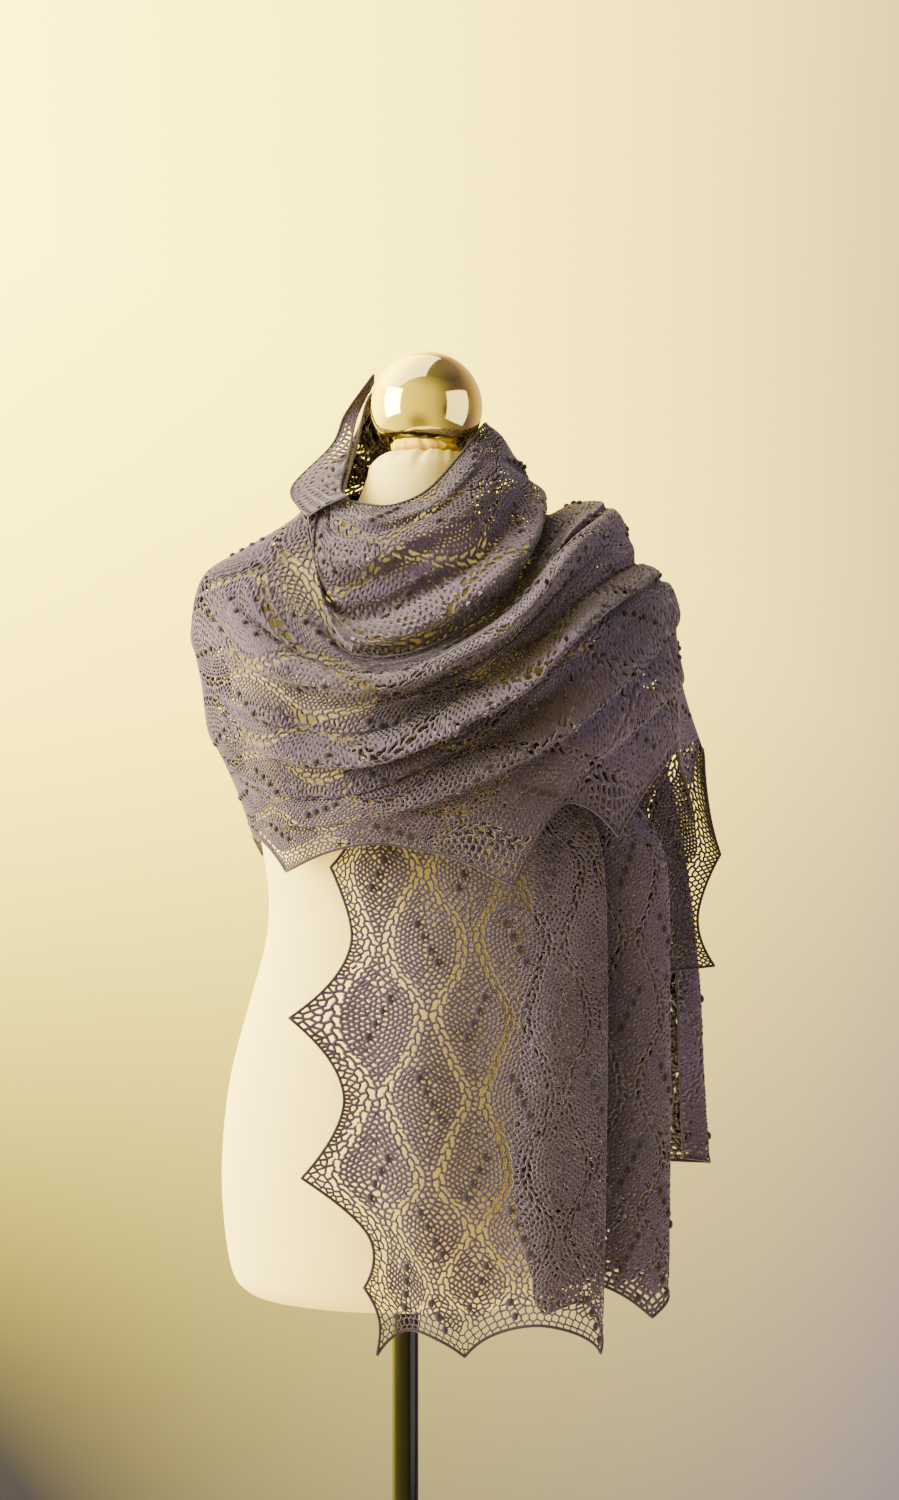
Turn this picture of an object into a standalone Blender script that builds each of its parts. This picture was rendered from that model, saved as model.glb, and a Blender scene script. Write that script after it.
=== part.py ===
"""Lace stole worn on a limbless dress form with a ball on its neck.

Metres, +Z up, the form faces -Y and stands on the floor at the origin.
The stole hangs in front, rises behind the neck, comes over the left shoulder
(the viewer's left, -X), crosses the chest and falls down the back from the
right shoulder.
"""
import math

import bmesh
import bpy
import numpy as np

# Cloth sizes
WALL = 0.0020            # thickness of the knitted wall
SEAM_GAP = 0.0008        # between two stretches that meet at a seam
FORM_GAP = 0.0017        # between the cloth's underside and the form
SCALLOP_DEPTH = 0.034    # how far an edge runs back between two points
SHORT_DEPTH = 0.020      # and where the points stand closer together
END_DEPTH = 0.028        # and along the end of the front fall
ARC_POWER = 1.8          # shape of the arc between two points, 2 for a parabola
LONGEST_ARC = 0.85       # most of the last strip between two lines that an arc may take
EYELET_WIDTH = 0.52      # share of a cell that a cut eyelet takes across the cloth
EYELET_LENGTH = 0.50     # and along it

# Finishes: colour, roughness and metallic value
FINISHES = {
    "lace_knit": ((0.20, 0.165, 0.185), 0.9, 0.0),
    "cream_jersey": ((0.78, 0.74, 0.66), 0.8, 0.0),
    "polished_brass": ((0.80, 0.58, 0.27), 0.12, 1.0),
    "polished_steel": ((0.62, 0.62, 0.63), 0.20, 1.0),
    "painted_foot": ((0.10, 0.10, 0.11), 0.45, 0.0),
}

# Dress form, as level sections from the underside to the top of the neck
FORM_SEGMENTS = 36
FORM_COLUMNS = ("height", "half_width", "half_depth", "centre_x", "centre_y")
FORM_SECTIONS = (
    (0.730, 0.132, 0.086, 0.000, 0.004),
    (0.735, 0.148, 0.098, 0.000, 0.004),
    (0.752, 0.161, 0.108, 0.000, 0.004),
    (0.800, 0.169, 0.115, 0.000, 0.005),
    (0.860, 0.1705, 0.117, 0.000, 0.006),
    (0.930, 0.163, 0.111, 0.000, 0.005),
    (1.000, 0.145, 0.098, 0.000, 0.003),
    (1.050, 0.131, 0.089, 0.000, 0.001),
    (1.090, 0.1265, 0.087, 0.000, -0.001),
    (1.130, 0.130, 0.092, 0.000, -0.003),
    (1.175, 0.139, 0.103, 0.000, -0.006),
    (1.220, 0.149, 0.114, 0.000, -0.008),
    (1.265, 0.156, 0.118, 0.000, -0.008),
    (1.310, 0.164, 0.112, 0.000, -0.005),
    (1.350, 0.176, 0.101, 0.000, 0.000),
    (1.382, 0.184, 0.088, 0.001, 0.003),
    (1.401, 0.172, 0.080, 0.002, 0.005),
    (1.416, 0.146, 0.073, 0.003, 0.006),
    (1.428, 0.112, 0.067, 0.005, 0.006),
    (1.439, 0.081, 0.061, 0.006, 0.004),
    (1.450, 0.061, 0.055, 0.008, 0.000),
    (1.468, 0.052, 0.050, 0.009, -0.003),
    (1.484, 0.0485, 0.047, 0.012, -0.005),
    (1.497, 0.0465, 0.045, 0.014, -0.006),
    (1.505, 0.041, 0.040, 0.016, -0.006),
)

# Padded top of the neck, from its rim inward to the dimple that holds the ball
NECK_DISH = ((0.0345, 1.5095), (0.027, 1.5075), (0.018, 1.5025), (0.008, 1.4998))

# Ball on the neck, and the stand
BALL_RADIUS = 0.0519
BALL_CENTRE = (0.0197, -0.006, 1.5525)
PIECE_GAP = 0.0004       # between hard pieces that touch
POLE_RADIUS = 0.0122
BASE_RADIUS = 0.175
BASE_RIM = 0.010
HUB_RADIUS = 0.026
HUB_HEIGHT = 0.034

# Neck roll: each row is one fold line round the neck, each column a place round the body
ROLL_PLACES = (
    "back_centre", "back_left", "left_arm", "left_front", "left_breast", "centre_left",
    "centre", "right_breast", "right_front", "right_arm", "over_right", "behind_right",
)
ROLL_FOLDS = {
    "rim": (
        (0.014, 0.066, 1.538), (-0.030, 0.050, 1.575), (-0.047, 0.014, 1.516), (-0.052, -0.025, 1.490),
        (-0.054, -0.058, 1.464), (-0.035, -0.082, 1.455), (-0.009, -0.091, 1.453), (0.021, -0.084, 1.467),
        (0.050, -0.052, 1.502), (0.072, -0.002, 1.536), (0.074, 0.028, 1.540), (0.058, 0.054, 1.537),
    ),
    "shoulder_of_rim": (
        (0.013, 0.078, 1.520), (-0.036, 0.062, 1.538), (-0.061, 0.016, 1.508), (-0.063, -0.030, 1.484),
        (-0.064, -0.074, 1.447), (-0.037, -0.102, 1.441), (-0.007, -0.110, 1.441), (0.031, -0.101, 1.456),
        (0.064, -0.064, 1.494), (0.088, -0.002, 1.525), (0.088, 0.036, 1.525), (0.070, 0.066, 1.520),
    ),
    "upper_ridge": (
        (0.012, 0.092, 1.492), (-0.046, 0.078, 1.500), (-0.077, 0.018, 1.492), (-0.075, -0.037, 1.472),
        (-0.075, -0.098, 1.406), (-0.037, -0.127, 1.402), (0.000, -0.129, 1.416), (0.050, -0.115, 1.436),
        (0.088, -0.073, 1.473), (0.104, -0.002, 1.501), (0.102, 0.044, 1.497), (0.083, 0.078, 1.493),
    ),
    "upper_hollow": (
        (0.012, 0.096, 1.470), (-0.053, 0.086, 1.476), (-0.086, 0.018, 1.476), (-0.082, -0.042, 1.462),
        (-0.072, -0.104, 1.378), (-0.035, -0.119, 1.368), (0.010, -0.120, 1.384), (0.060, -0.108, 1.407),
        (0.095, -0.070, 1.447), (0.113, -0.002, 1.487), (0.109, 0.047, 1.478), (0.092, 0.082, 1.474),
    ),
    "lower_ridge": (
        (0.012, 0.104, 1.452), (-0.062, 0.093, 1.457), (-0.094, 0.018, 1.461), (-0.087, -0.045, 1.453),
        (-0.064, -0.131, 1.353), (-0.028, -0.150, 1.334), (0.030, -0.153, 1.352), (0.084, -0.134, 1.388),
        (0.120, -0.084, 1.429), (0.124, -0.002, 1.477), (0.118, 0.052, 1.465), (0.101, 0.087, 1.461),
    ),
    "tuck": (
        (0.012, 0.108, 1.432), (-0.072, 0.096, 1.438), (-0.100, 0.018, 1.448), (-0.090, -0.047, 1.441),
        (-0.060, -0.119, 1.336), (-0.026, -0.136, 1.316), (0.026, -0.139, 1.326), (0.081, -0.123, 1.363),
        (0.105, -0.064, 1.396), (0.130, -0.002, 1.452), (0.124, 0.052, 1.445), (0.111, 0.090, 1.438),
    ),
}

# Wrap over the shoulders and chest, from the tuck under the roll down to the points of its edge
WRAP_PLACES = ("back_right",) + ROLL_PLACES
WRAP_FOLDS = {
    "shoulder": (
        (0.096, 0.092, 1.402), (0.006, 0.100, 1.404), (-0.098, 0.086, 1.408), (-0.150, 0.006, 1.421),
        (-0.126, -0.062, 1.405), (-0.084, -0.112, 1.345), (-0.034, -0.142, 1.310), (0.024, -0.148, 1.318),
        (0.086, -0.134, 1.352), (0.133, -0.086, 1.408), (0.156, -0.002, 1.462), (0.146, 0.050, 1.455),
        (0.134, 0.092, 1.430),
    ),
    "shoulder_hollow": (
        (0.106, 0.093, 1.378), (0.000, 0.096, 1.375), (-0.124, 0.082, 1.380), (-0.188, 0.006, 1.396),
        (-0.148, -0.080, 1.365), (-0.086, -0.122, 1.322), (-0.034, -0.148, 1.303), (0.022, -0.158, 1.312),
        (0.090, -0.144, 1.354), (0.142, -0.092, 1.420), (0.180, -0.004, 1.464), (0.170, 0.050, 1.456),
        (0.158, 0.092, 1.424),
    ),
    "first_ridge": (
        (0.116, 0.100, 1.360), (-0.006, 0.134, 1.356), (-0.140, 0.104, 1.350), (-0.199, 0.004, 1.346),
        (-0.134, -0.116, 1.319), (-0.082, -0.150, 1.304), (-0.030, -0.168, 1.296), (0.020, -0.172, 1.305),
        (0.095, -0.160, 1.348), (0.152, -0.103, 1.411), (0.199, -0.007, 1.450), (0.193, 0.048, 1.443),
        (0.181, 0.092, 1.410),
    ),
    "first_hollow": (
        (0.122, 0.092, 1.344), (-0.008, 0.108, 1.330), (-0.140, 0.072, 1.305), (-0.190, 0.002, 1.300),
        (-0.136, -0.098, 1.276), (-0.082, -0.124, 1.262), (-0.032, -0.140, 1.256), (0.022, -0.145, 1.274),
        (0.098, -0.134, 1.317), (0.160, -0.089, 1.378), (0.211, -0.007, 1.414), (0.209, 0.044, 1.405),
        (0.204, 0.090, 1.378),
    ),
    "second_ridge": (
        (0.124, 0.104, 1.330), (-0.010, 0.136, 1.312), (-0.142, 0.106, 1.272), (-0.183, 0.000, 1.254),
        (-0.126, -0.112, 1.241), (-0.078, -0.144, 1.234), (-0.030, -0.160, 1.235), (0.022, -0.168, 1.254),
        (0.100, -0.167, 1.295), (0.163, -0.129, 1.355), (0.229, -0.012, 1.399), (0.229, 0.040, 1.388),
        (0.226, 0.088, 1.362),
    ),
    "second_hollow": (
        (0.124, 0.096, 1.316), (-0.010, 0.112, 1.290), (-0.130, 0.080, 1.240), (-0.168, 0.000, 1.224),
        (-0.122, -0.094, 1.210), (-0.076, -0.124, 1.204), (-0.030, -0.137, 1.208), (0.022, -0.142, 1.226),
        (0.102, -0.136, 1.262), (0.165, -0.110, 1.322), (0.243, -0.016, 1.380), (0.246, 0.034, 1.366),
        (0.244, 0.084, 1.335),
    ),
    "third_ridge": (
        (0.124, 0.104, 1.302), (-0.010, 0.134, 1.270), (-0.130, 0.104, 1.212), (-0.157, 0.000, 1.199),
        (-0.116, -0.102, 1.186), (-0.074, -0.132, 1.182), (-0.028, -0.150, 1.185), (0.022, -0.158, 1.197),
        (0.102, -0.162, 1.232), (0.170, -0.136, 1.271), (0.247, -0.022, 1.322), (0.254, 0.028, 1.315),
        (0.262, 0.080, 1.300),
    ),
    "border": (
        (0.122, 0.100, 1.290), (-0.008, 0.130, 1.246), (-0.122, 0.100, 1.180), (-0.145, 0.000, 1.166),
        (-0.110, -0.098, 1.158), (-0.070, -0.130, 1.158), (-0.026, -0.142, 1.160), (0.022, -0.146, 1.163),
        (0.100, -0.148, 1.182), (0.172, -0.126, 1.216), (0.245, -0.030, 1.248), (0.257, 0.020, 1.254),
        (0.275, 0.076, 1.262),
    ),
    "points": (
        (0.120, 0.100, 1.270), (-0.006, 0.128, 1.214), (-0.112, 0.098, 1.142), (-0.136, 0.000, 1.136),
        (-0.104, -0.100, 1.127), (-0.066, -0.132, 1.126), (-0.024, -0.144, 1.126), (0.024, -0.150, 1.126),
        (0.096, -0.156, 1.118), (0.182, -0.130, 1.157), (0.241, -0.040, 1.172), (0.260, 0.014, 1.192),
        (0.288, 0.070, 1.222),
    ),
}

# The wrap's first place behind the neck, where it starts under the falls
ROLL_START = {"lower_ridge": (0.086, 0.090, 1.450), "tuck": (0.086, 0.094, 1.430)}

# Places of the points along the scalloped edges, counted in places or lines of their tables
WRAP_TIPS = (-0.4, 1.2, 2.7, 4.0, 8.0, 9.1, 11.3, 14.0)
FRONT_SIDE_TIPS = (-0.2, 1.0, 2.08, 3.0, 4.0, 5.1, 6.0)
FRONT_END_TIPS = (0.0, 2.6, 5.1, 7.6, 10.4, 13.0)
UNDER_TIPS = (0.3, 3.0, 5.0)

# Front fall: each row is a level, each column a line down the cloth, from its left edge through its folds
FRONT_LINES = (
    "points", "border", "left_flute", "middle", "right_flute", "first_fold", "behind_fold",
    "inner_run", "second_fold", "outer_run", "third_flute", "third_fold", "return_run", "return_end",
)
FRONT_LEVELS = {
    "under_wrap": (
        (-0.034, -0.104, 1.300), (-0.010, -0.116, 1.300), (0.020, -0.118, 1.300), (0.048, -0.116, 1.298),
        (0.080, -0.112, 1.290), (0.118, -0.106, 1.268), (0.140, -0.092, 1.240), (0.122, -0.093, 1.236),
        (0.112, -0.094, 1.236), (0.134, -0.080, 1.236), (0.156, -0.068, 1.236), (0.172, -0.052, 1.236),
        (0.166, -0.040, 1.236), (0.160, -0.034, 1.236),
    ),
    "bust": (
        (-0.050, -0.104, 1.222), (-0.026, -0.116, 1.222), (0.010, -0.118, 1.222), (0.050, -0.117, 1.220),
        (0.098, -0.112, 1.214), (0.146, -0.104, 1.206), (0.150, -0.091, 1.204), (0.129, -0.091, 1.204),
        (0.114, -0.091, 1.204), (0.142, -0.078, 1.204), (0.172, -0.069, 1.204), (0.194, -0.051, 1.204),
        (0.180, -0.038, 1.204), (0.162, -0.032, 1.204),
    ),
    "below_wrap": (
        (-0.062, -0.104, 1.140), (-0.034, -0.114, 1.140), (0.010, -0.112, 1.140), (0.060, -0.120, 1.140),
        (0.118, -0.112, 1.140), (0.172, -0.102, 1.140), (0.171, -0.090, 1.140), (0.146, -0.088, 1.140),
        (0.119, -0.086, 1.140), (0.160, -0.072, 1.140), (0.205, -0.072, 1.140), (0.236, -0.050, 1.140),
        (0.206, -0.038, 1.140), (0.168, -0.030, 1.140),
    ),
    "waist": (
        (-0.098, -0.146, 1.002), (-0.040, -0.138, 1.002), (0.014, -0.146, 1.002), (0.070, -0.138, 1.002),
        (0.126, -0.140, 1.002), (0.176, -0.116, 1.002), (0.174, -0.100, 1.002), (0.144, -0.100, 1.002),
        (0.108, -0.096, 1.002), (0.158, -0.078, 1.002), (0.208, -0.080, 1.002), (0.241, -0.054, 1.002),
        (0.208, -0.038, 1.002), (0.170, -0.036, 1.002),
    ),
    "hip": (
        (-0.087, -0.152, 0.864), (-0.040, -0.144, 0.864), (0.014, -0.154, 0.864), (0.070, -0.144, 0.864),
        (0.126, -0.148, 0.864), (0.175, -0.120, 0.864), (0.172, -0.103, 0.864), (0.140, -0.108, 0.864),
        (0.097, -0.114, 0.864), (0.156, -0.088, 0.864), (0.208, -0.084, 0.864), (0.241, -0.056, 0.864),
        (0.212, -0.040, 0.864), (0.186, -0.044, 0.864),
    ),
    "knee_of_hem": (
        (-0.036, -0.150, 0.776), (-0.008, -0.146, 0.776), (0.022, -0.154, 0.776), (0.072, -0.145, 0.776),
        (0.126, -0.148, 0.776), (0.174, -0.122, 0.776), (0.170, -0.105, 0.782), (0.144, -0.110, 0.790),
        (0.108, -0.116, 0.798), (0.158, -0.088, 0.795), (0.206, -0.086, 0.791), (0.240, -0.058, 0.786),
        (0.212, -0.042, 0.792), (0.188, -0.044, 0.797),
    ),
    "hem_points": (
        (-0.022, -0.150, 0.710), (0.004, -0.147, 0.710), (0.034, -0.153, 0.709), (0.070, -0.146, 0.708),
        (0.124, -0.148, 0.706), (0.172, -0.124, 0.704), (0.168, -0.108, 0.712), (0.146, -0.112, 0.726),
        (0.118, -0.116, 0.742), (0.160, -0.090, 0.736), (0.206, -0.086, 0.729), (0.239, -0.060, 0.722),
        (0.214, -0.044, 0.732), (0.190, -0.046, 0.742),
    ),
}

# Under fall down the back, nearer the form, from the inner fold to the pointed outer edge
UNDER_LINES = ("inner_fold", "inner_flute", "middle", "outer_flute", "border", "points")
UNDER_LEVELS = {
    "shoulder_blade": (
        (0.158, 0.108, 1.292), (0.186, 0.100, 1.282), (0.216, 0.104, 1.266), (0.248, 0.092, 1.242),
        (0.276, 0.086, 1.216), (0.297, 0.078, 1.184),
    ),
    "rib": (
        (0.124, 0.112, 1.180), (0.162, 0.100, 1.172), (0.200, 0.108, 1.163), (0.237, 0.093, 1.154),
        (0.270, 0.094, 1.144), (0.302, 0.080, 1.134),
    ),
    "waist": (
        (0.108, 0.108, 1.085), (0.150, 0.096, 1.083), (0.192, 0.106, 1.080), (0.228, 0.090, 1.078),
        (0.262, 0.093, 1.075), (0.298, 0.080, 1.072),
    ),
    "hem_points": (
        (0.104, 0.105, 1.006), (0.147, 0.094, 1.010), (0.190, 0.104, 1.014), (0.227, 0.089, 1.018),
        (0.262, 0.092, 1.022), (0.296, 0.080, 1.027),
    ),
}

# Over fall down the back, outside the under fall, from its inner edge to its outer fold and the turn behind it
OVER_LINES = ("inner_edge", "inner_flute", "middle", "outer_flute", "outer_fold", "turn")
OVER_LEVELS = {
    "shoulder_blade": (
        (0.088, 0.124, 1.350), (0.122, 0.121, 1.345), (0.156, 0.134, 1.338), (0.190, 0.124, 1.326),
        (0.222, 0.122, 1.310), (0.222, 0.114, 1.306),
    ),
    "rib": (
        (0.072, 0.140, 1.220), (0.118, 0.128, 1.213), (0.165, 0.143, 1.205), (0.214, 0.129, 1.195),
        (0.262, 0.122, 1.182), (0.246, 0.110, 1.180),
    ),
    "waist": (
        (0.066, 0.142, 1.050), (0.118, 0.127, 1.045), (0.171, 0.145, 1.039), (0.228, 0.128, 1.032),
        (0.284, 0.119, 1.022), (0.262, 0.108, 1.020),
    ),
    "hip": (
        (0.063, 0.142, 0.930), (0.118, 0.127, 0.925), (0.173, 0.144, 0.920), (0.231, 0.126, 0.914),
        (0.290, 0.117, 0.905), (0.266, 0.106, 0.905),
    ),
    "hem_points": (
        (0.062, 0.140, 0.842), (0.118, 0.125, 0.838), (0.174, 0.142, 0.834), (0.232, 0.125, 0.833),
        (0.295, 0.116, 0.832), (0.269, 0.106, 0.838),
    ),
}

# The wrap's lines that run on into the over fall, then the ones that run on into the under fall
LINES_INTO_FALLS = (1.0, 2.0, 3.0, 4.0, 5.0, 5.75, 6.0, 7.0, 8.0, 9.0)

# How far the over fall's turn starts from its outer fold, on the wrap's last two places
FOLD_TURN = (0.006, 0.0, -0.010)

# Turned-over flap at the left of the neck: its fold lies on the roll's rim, its edge has two points
FLAP_LINES = ("edge", "middle", "fold")
FLAP_LEVELS = {
    "top_point": ((-0.031, 0.051, 1.592), (-0.031, 0.052, 1.588), (-0.0315, 0.054, 1.584)),
    "upper_arc": ((-0.057, 0.037, 1.553), (-0.051, 0.038, 1.553), (-0.0465, 0.038, 1.551)),
    "mid_arc": ((-0.069, 0.020, 1.521), (-0.061, 0.018, 1.524), (-0.0515, 0.012, 1.521)),
    "low_point": ((-0.104, -0.010, 1.479), (-0.081, -0.014, 1.492), (-0.0560, -0.025, 1.495)),
    "lower_arc": ((-0.096, -0.040, 1.456), (-0.079, -0.049, 1.466), (-0.0585, -0.056, 1.4695)),
    "front_end": ((-0.086, -0.070, 1.446), (-0.070, -0.080, 1.454), (-0.050, -0.086, 1.462)),
}


def blend_weights(u):
    """The four Catmull-Rom weights at the share u of a span."""
    return (
        0.5 * (-u + 2 * u**2 - u**3),
        0.5 * (2 - 5 * u**2 + 3 * u**3),
        0.5 * (u + 4 * u**2 - 3 * u**3),
        0.5 * (-(u**2) + u**3),
    )


def spline(knots, at, closed=False):
    """A smooth curve through the rows of knots, read at the places at, counted in rows."""
    knots, at = np.asarray(knots, float), np.asarray(at, float)
    count = len(knots)
    if closed:
        at = np.mod(at, count)
        span = np.floor(at).astype(int)
        rows = [(span + k) % count for k in (-1, 0, 1, 2)]
        picked = [knots[r] for r in rows]
    else:
        padded = np.concatenate([[2 * knots[0] - knots[1]], knots, [2 * knots[-1] - knots[-2]]])
        span = np.clip(np.floor(at).astype(int), 0, count - 2)
        picked = [padded[span + k] for k in range(4)]
    share = at - span
    return sum(w[(...,) + (None,) * (knots.ndim - 1)] * p for w, p in zip(blend_weights(share), picked))


FORM_TABLE = np.array(FORM_SECTIONS)


def form_section(height):
    """Half width, half depth and centre of the form at a height."""
    return [np.interp(height, FORM_TABLE[:, 0], FORM_TABLE[:, k]) for k in range(1, len(FORM_COLUMNS))]


def outside_form(points):
    """About how far each point lies outside the form, and the outward direction there."""
    def level(p):
        wide, deep, mid_x, mid_y = form_section(p[:, 2])
        return np.hypot((p[:, 0] - mid_x) / wide, (p[:, 1] - mid_y) / deep) - 1

    step = 1e-4
    here = level(points)
    slope = np.stack([(level(points + step * axis) - here) / step for axis in np.eye(3)], axis=1)
    steep = np.linalg.norm(slope, axis=1) + 1e-9
    return here / steep, slope / steep[:, None]


def clear_of_form(points, clearance):
    """The points, with those nearer the form than the clearance moved out to it."""
    shape = points.shape
    moved = points.reshape(-1, 3).copy()
    for _ in range(4):
        away, outward = outside_form(moved)
        moved += outward * np.clip(clearance - away, 0, 0.01)[:, None]
    return moved.reshape(shape)


def hollow(places, tips):
    """0 at each point of the edge and 1 halfway between two, along the arc that joins them."""
    after = np.clip(np.searchsorted(tips, places, side="right"), 1, len(tips) - 1)
    left, right = np.asarray(tips)[after - 1], np.asarray(tips)[after]
    return 1 - np.clip(np.abs(2 * (places - left) / (right - left) - 1), 0, 1) ** ARC_POWER


def clear_scene():
    for thing in list(bpy.data.objects):
        bpy.data.objects.remove(thing, do_unlink=True)


def collection_of(name):
    made = bpy.data.collections.new(name)
    bpy.context.scene.collection.children.link(made)
    return made


def material_of(name, finish):
    colour, roughness, metallic = FINISHES[finish]
    made = bpy.data.materials.new(name)
    made.use_nodes = True
    shader = made.node_tree.nodes["Principled BSDF"]
    shader.inputs["Base Color"].default_value = (*colour, 1.0)
    shader.inputs["Roughness"].default_value = roughness
    shader.inputs["Metallic"].default_value = metallic
    return made


def add_mesh(name, mesh, finish, group):
    made = bpy.data.objects.new(name, mesh)
    made.data.materials.append(material_of(name + "_" + finish, finish))
    group.objects.link(made)
    return made


def cloth_mesh(name, surface, along, across, eyelets):
    """An open mesh of the surface at the given places, with an eyelet cut in each listed cell."""
    rows, columns = len(along), len(across)
    places = [(s, t) for s in along for t in across]
    faces = []
    for i in range(rows - 1):
        for j in range(columns - 1):
            ring = [i * columns + j, (i + 1) * columns + j, (i + 1) * columns + j + 1, i * columns + j + 1]
            if (i, j) not in eyelets:
                faces.append(ring)
                continue
            first = len(places)
            mid_s, mid_t = (along[i] + along[i + 1]) / 2, (across[j] + across[j + 1]) / 2
            reach_s = (along[i + 1] - along[i]) * EYELET_LENGTH / 2
            reach_t = (across[j + 1] - across[j]) * EYELET_WIDTH / 2
            for a, b in ((-1, -1), (1, -1), (1, 1), (-1, 1)):
                places.append((mid_s + a * reach_s, mid_t + b * reach_t))
            inner = [first + k for k in range(4)]
            faces.extend([ring[k], ring[(k + 1) % 4], inner[(k + 1) % 4], inner[k]] for k in range(4))
    mesh = bpy.data.meshes.new(name)
    mesh.from_pydata([tuple(p) for p in surface(*np.array(places).T)], [], faces)
    return mesh


def add_cloth(name, surface, along, across, eyelets, finish, group):
    """One stretch of cloth: its open surface with a Solidify wall, shaded smooth."""
    made = add_mesh(name, cloth_mesh(name, surface, along, across, eyelets), finish, group)
    made.data.shade_smooth()
    wall = made.modifiers.new("wall", "SOLIDIFY")
    wall.thickness = WALL
    wall.offset = 0.0
    return made


def net_of(table, columns):
    """A table of fold lines or levels as rows of points, one for each of its named columns."""
    net = np.array(list(table.values()), float)
    if net.shape[1] != len(columns):
        raise ValueError("a row of the table has more or fewer points than it has columns")
    return net


def sheet_surface(net, closed=False, clearance=0.0, edges=()):
    """A function of (along, across) on a net of [place along][line across] points.

    Each of edges is (side, tips, depth): the side 'first' or 'last' across, or 'end' along,
    the places of its points counted in the net's places or lines, and the hollows' depth.
    """
    def surface(along, across):
        along, across = np.asarray(along, float), np.asarray(across, float)
        flat_s, flat_t = along.ravel(), across.ravel()
        last_s, last_t = len(net) - 1.0, net.shape[1] - 1.0
        for side, tips, depth in edges:
            arc = hollow(flat_t if side == "end" else flat_s, tips) * edge_hollow(net, side, depth)
            if side == "last":
                share = np.clip(flat_t - (last_t - 1), 0, 1)
                flat_t = flat_t - share * arc
            elif side == "first":
                share = np.clip(1 - flat_t, 0, 1)
                flat_t = flat_t + share * arc
            else:
                share = np.clip(flat_s - (last_s - 1), 0, 1)
                flat_s = flat_s - share * arc
        lines = spline(net, flat_s, closed)
        span = np.clip(np.floor(flat_t).astype(int), 0, net.shape[1] - 2)
        wide = np.concatenate(
            [2 * lines[:, :1] - lines[:, 1:2], lines, 2 * lines[:, -1:] - lines[:, -2:-1]], axis=1
        )
        rows = np.arange(len(flat_t))
        weights = blend_weights(flat_t - span)
        points = sum(w[:, None] * wide[rows, span + k] for k, w in enumerate(weights))
        if clearance:
            points = clear_of_form(points, clearance)
        return points.reshape(along.shape + (3,))

    return surface


def edge_hollow(net, side, depth):
    """The scallop's depth, counted in lines of the net."""
    if side == "last":
        width = np.linalg.norm(net[:, -1] - net[:, -2], axis=1).mean()
    elif side == "first":
        width = np.linalg.norm(net[:, 0] - net[:, 1], axis=1).mean()
    else:
        width = np.linalg.norm(net[-1] - net[-2], axis=1).mean()
    return min(LONGEST_ARC, depth / width)


def eyelet_cells(rows, columns, row_step, column_step, shift, row_margin=1, column_margin=1):
    """Every few cells of a grid, each band shifted from the one before it."""
    return {
        (i, j)
        for band, j in enumerate(range(column_margin, columns - column_margin, column_step))
        for i in range(row_margin + (band * shift) % row_step, rows - row_margin, row_step)
    }


def places_of(start, end, count, kept):
    """Even places from start to end, the nearest one moved onto each kept place."""
    places = np.linspace(start, end, count + 1)
    for place in kept:
        if start < place < end:
            nearest = np.abs(places[1:-1] - place).argmin() + 1
            places[nearest] = place
    return places


def stretch(name, surface, span, cells, look, step, seams=(0, 0, 0, 0), kept=((), ())):
    """A node of cloth between two places along and two across.

    span is (along from, to, across from, to), cells the number of cells each way, look the
    cloth's (finish, group), step the eyelets' spacing, seams how many half seams each side
    is pulled back, and kept the places along and across that the mesh must have, such as
    the edge's points.
    """
    along = places_of(span[0], span[1], cells[0], kept[0])
    across = places_of(span[2], span[3], cells[1], kept[1])
    points = surface(*np.meshgrid(along, across, indexing="ij"))
    rows = np.linalg.norm(np.diff(points, axis=0), axis=2).min(axis=1)
    columns = np.linalg.norm(np.diff(points, axis=1), axis=2).min(axis=0)
    half = SEAM_GAP / 2
    along[0] += seams[0] * half / rows[0] * (along[1] - along[0])
    along[-1] -= seams[1] * half / rows[-1] * (along[-1] - along[-2])
    across[0] += seams[2] * half / columns[0] * (across[1] - across[0])
    across[-1] -= seams[3] * half / columns[-1] * (across[-1] - across[-2])
    eyelets = eyelet_cells(cells[0], cells[1], *step)
    return add_cloth(name, surface, along, across, eyelets, *look)


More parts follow.
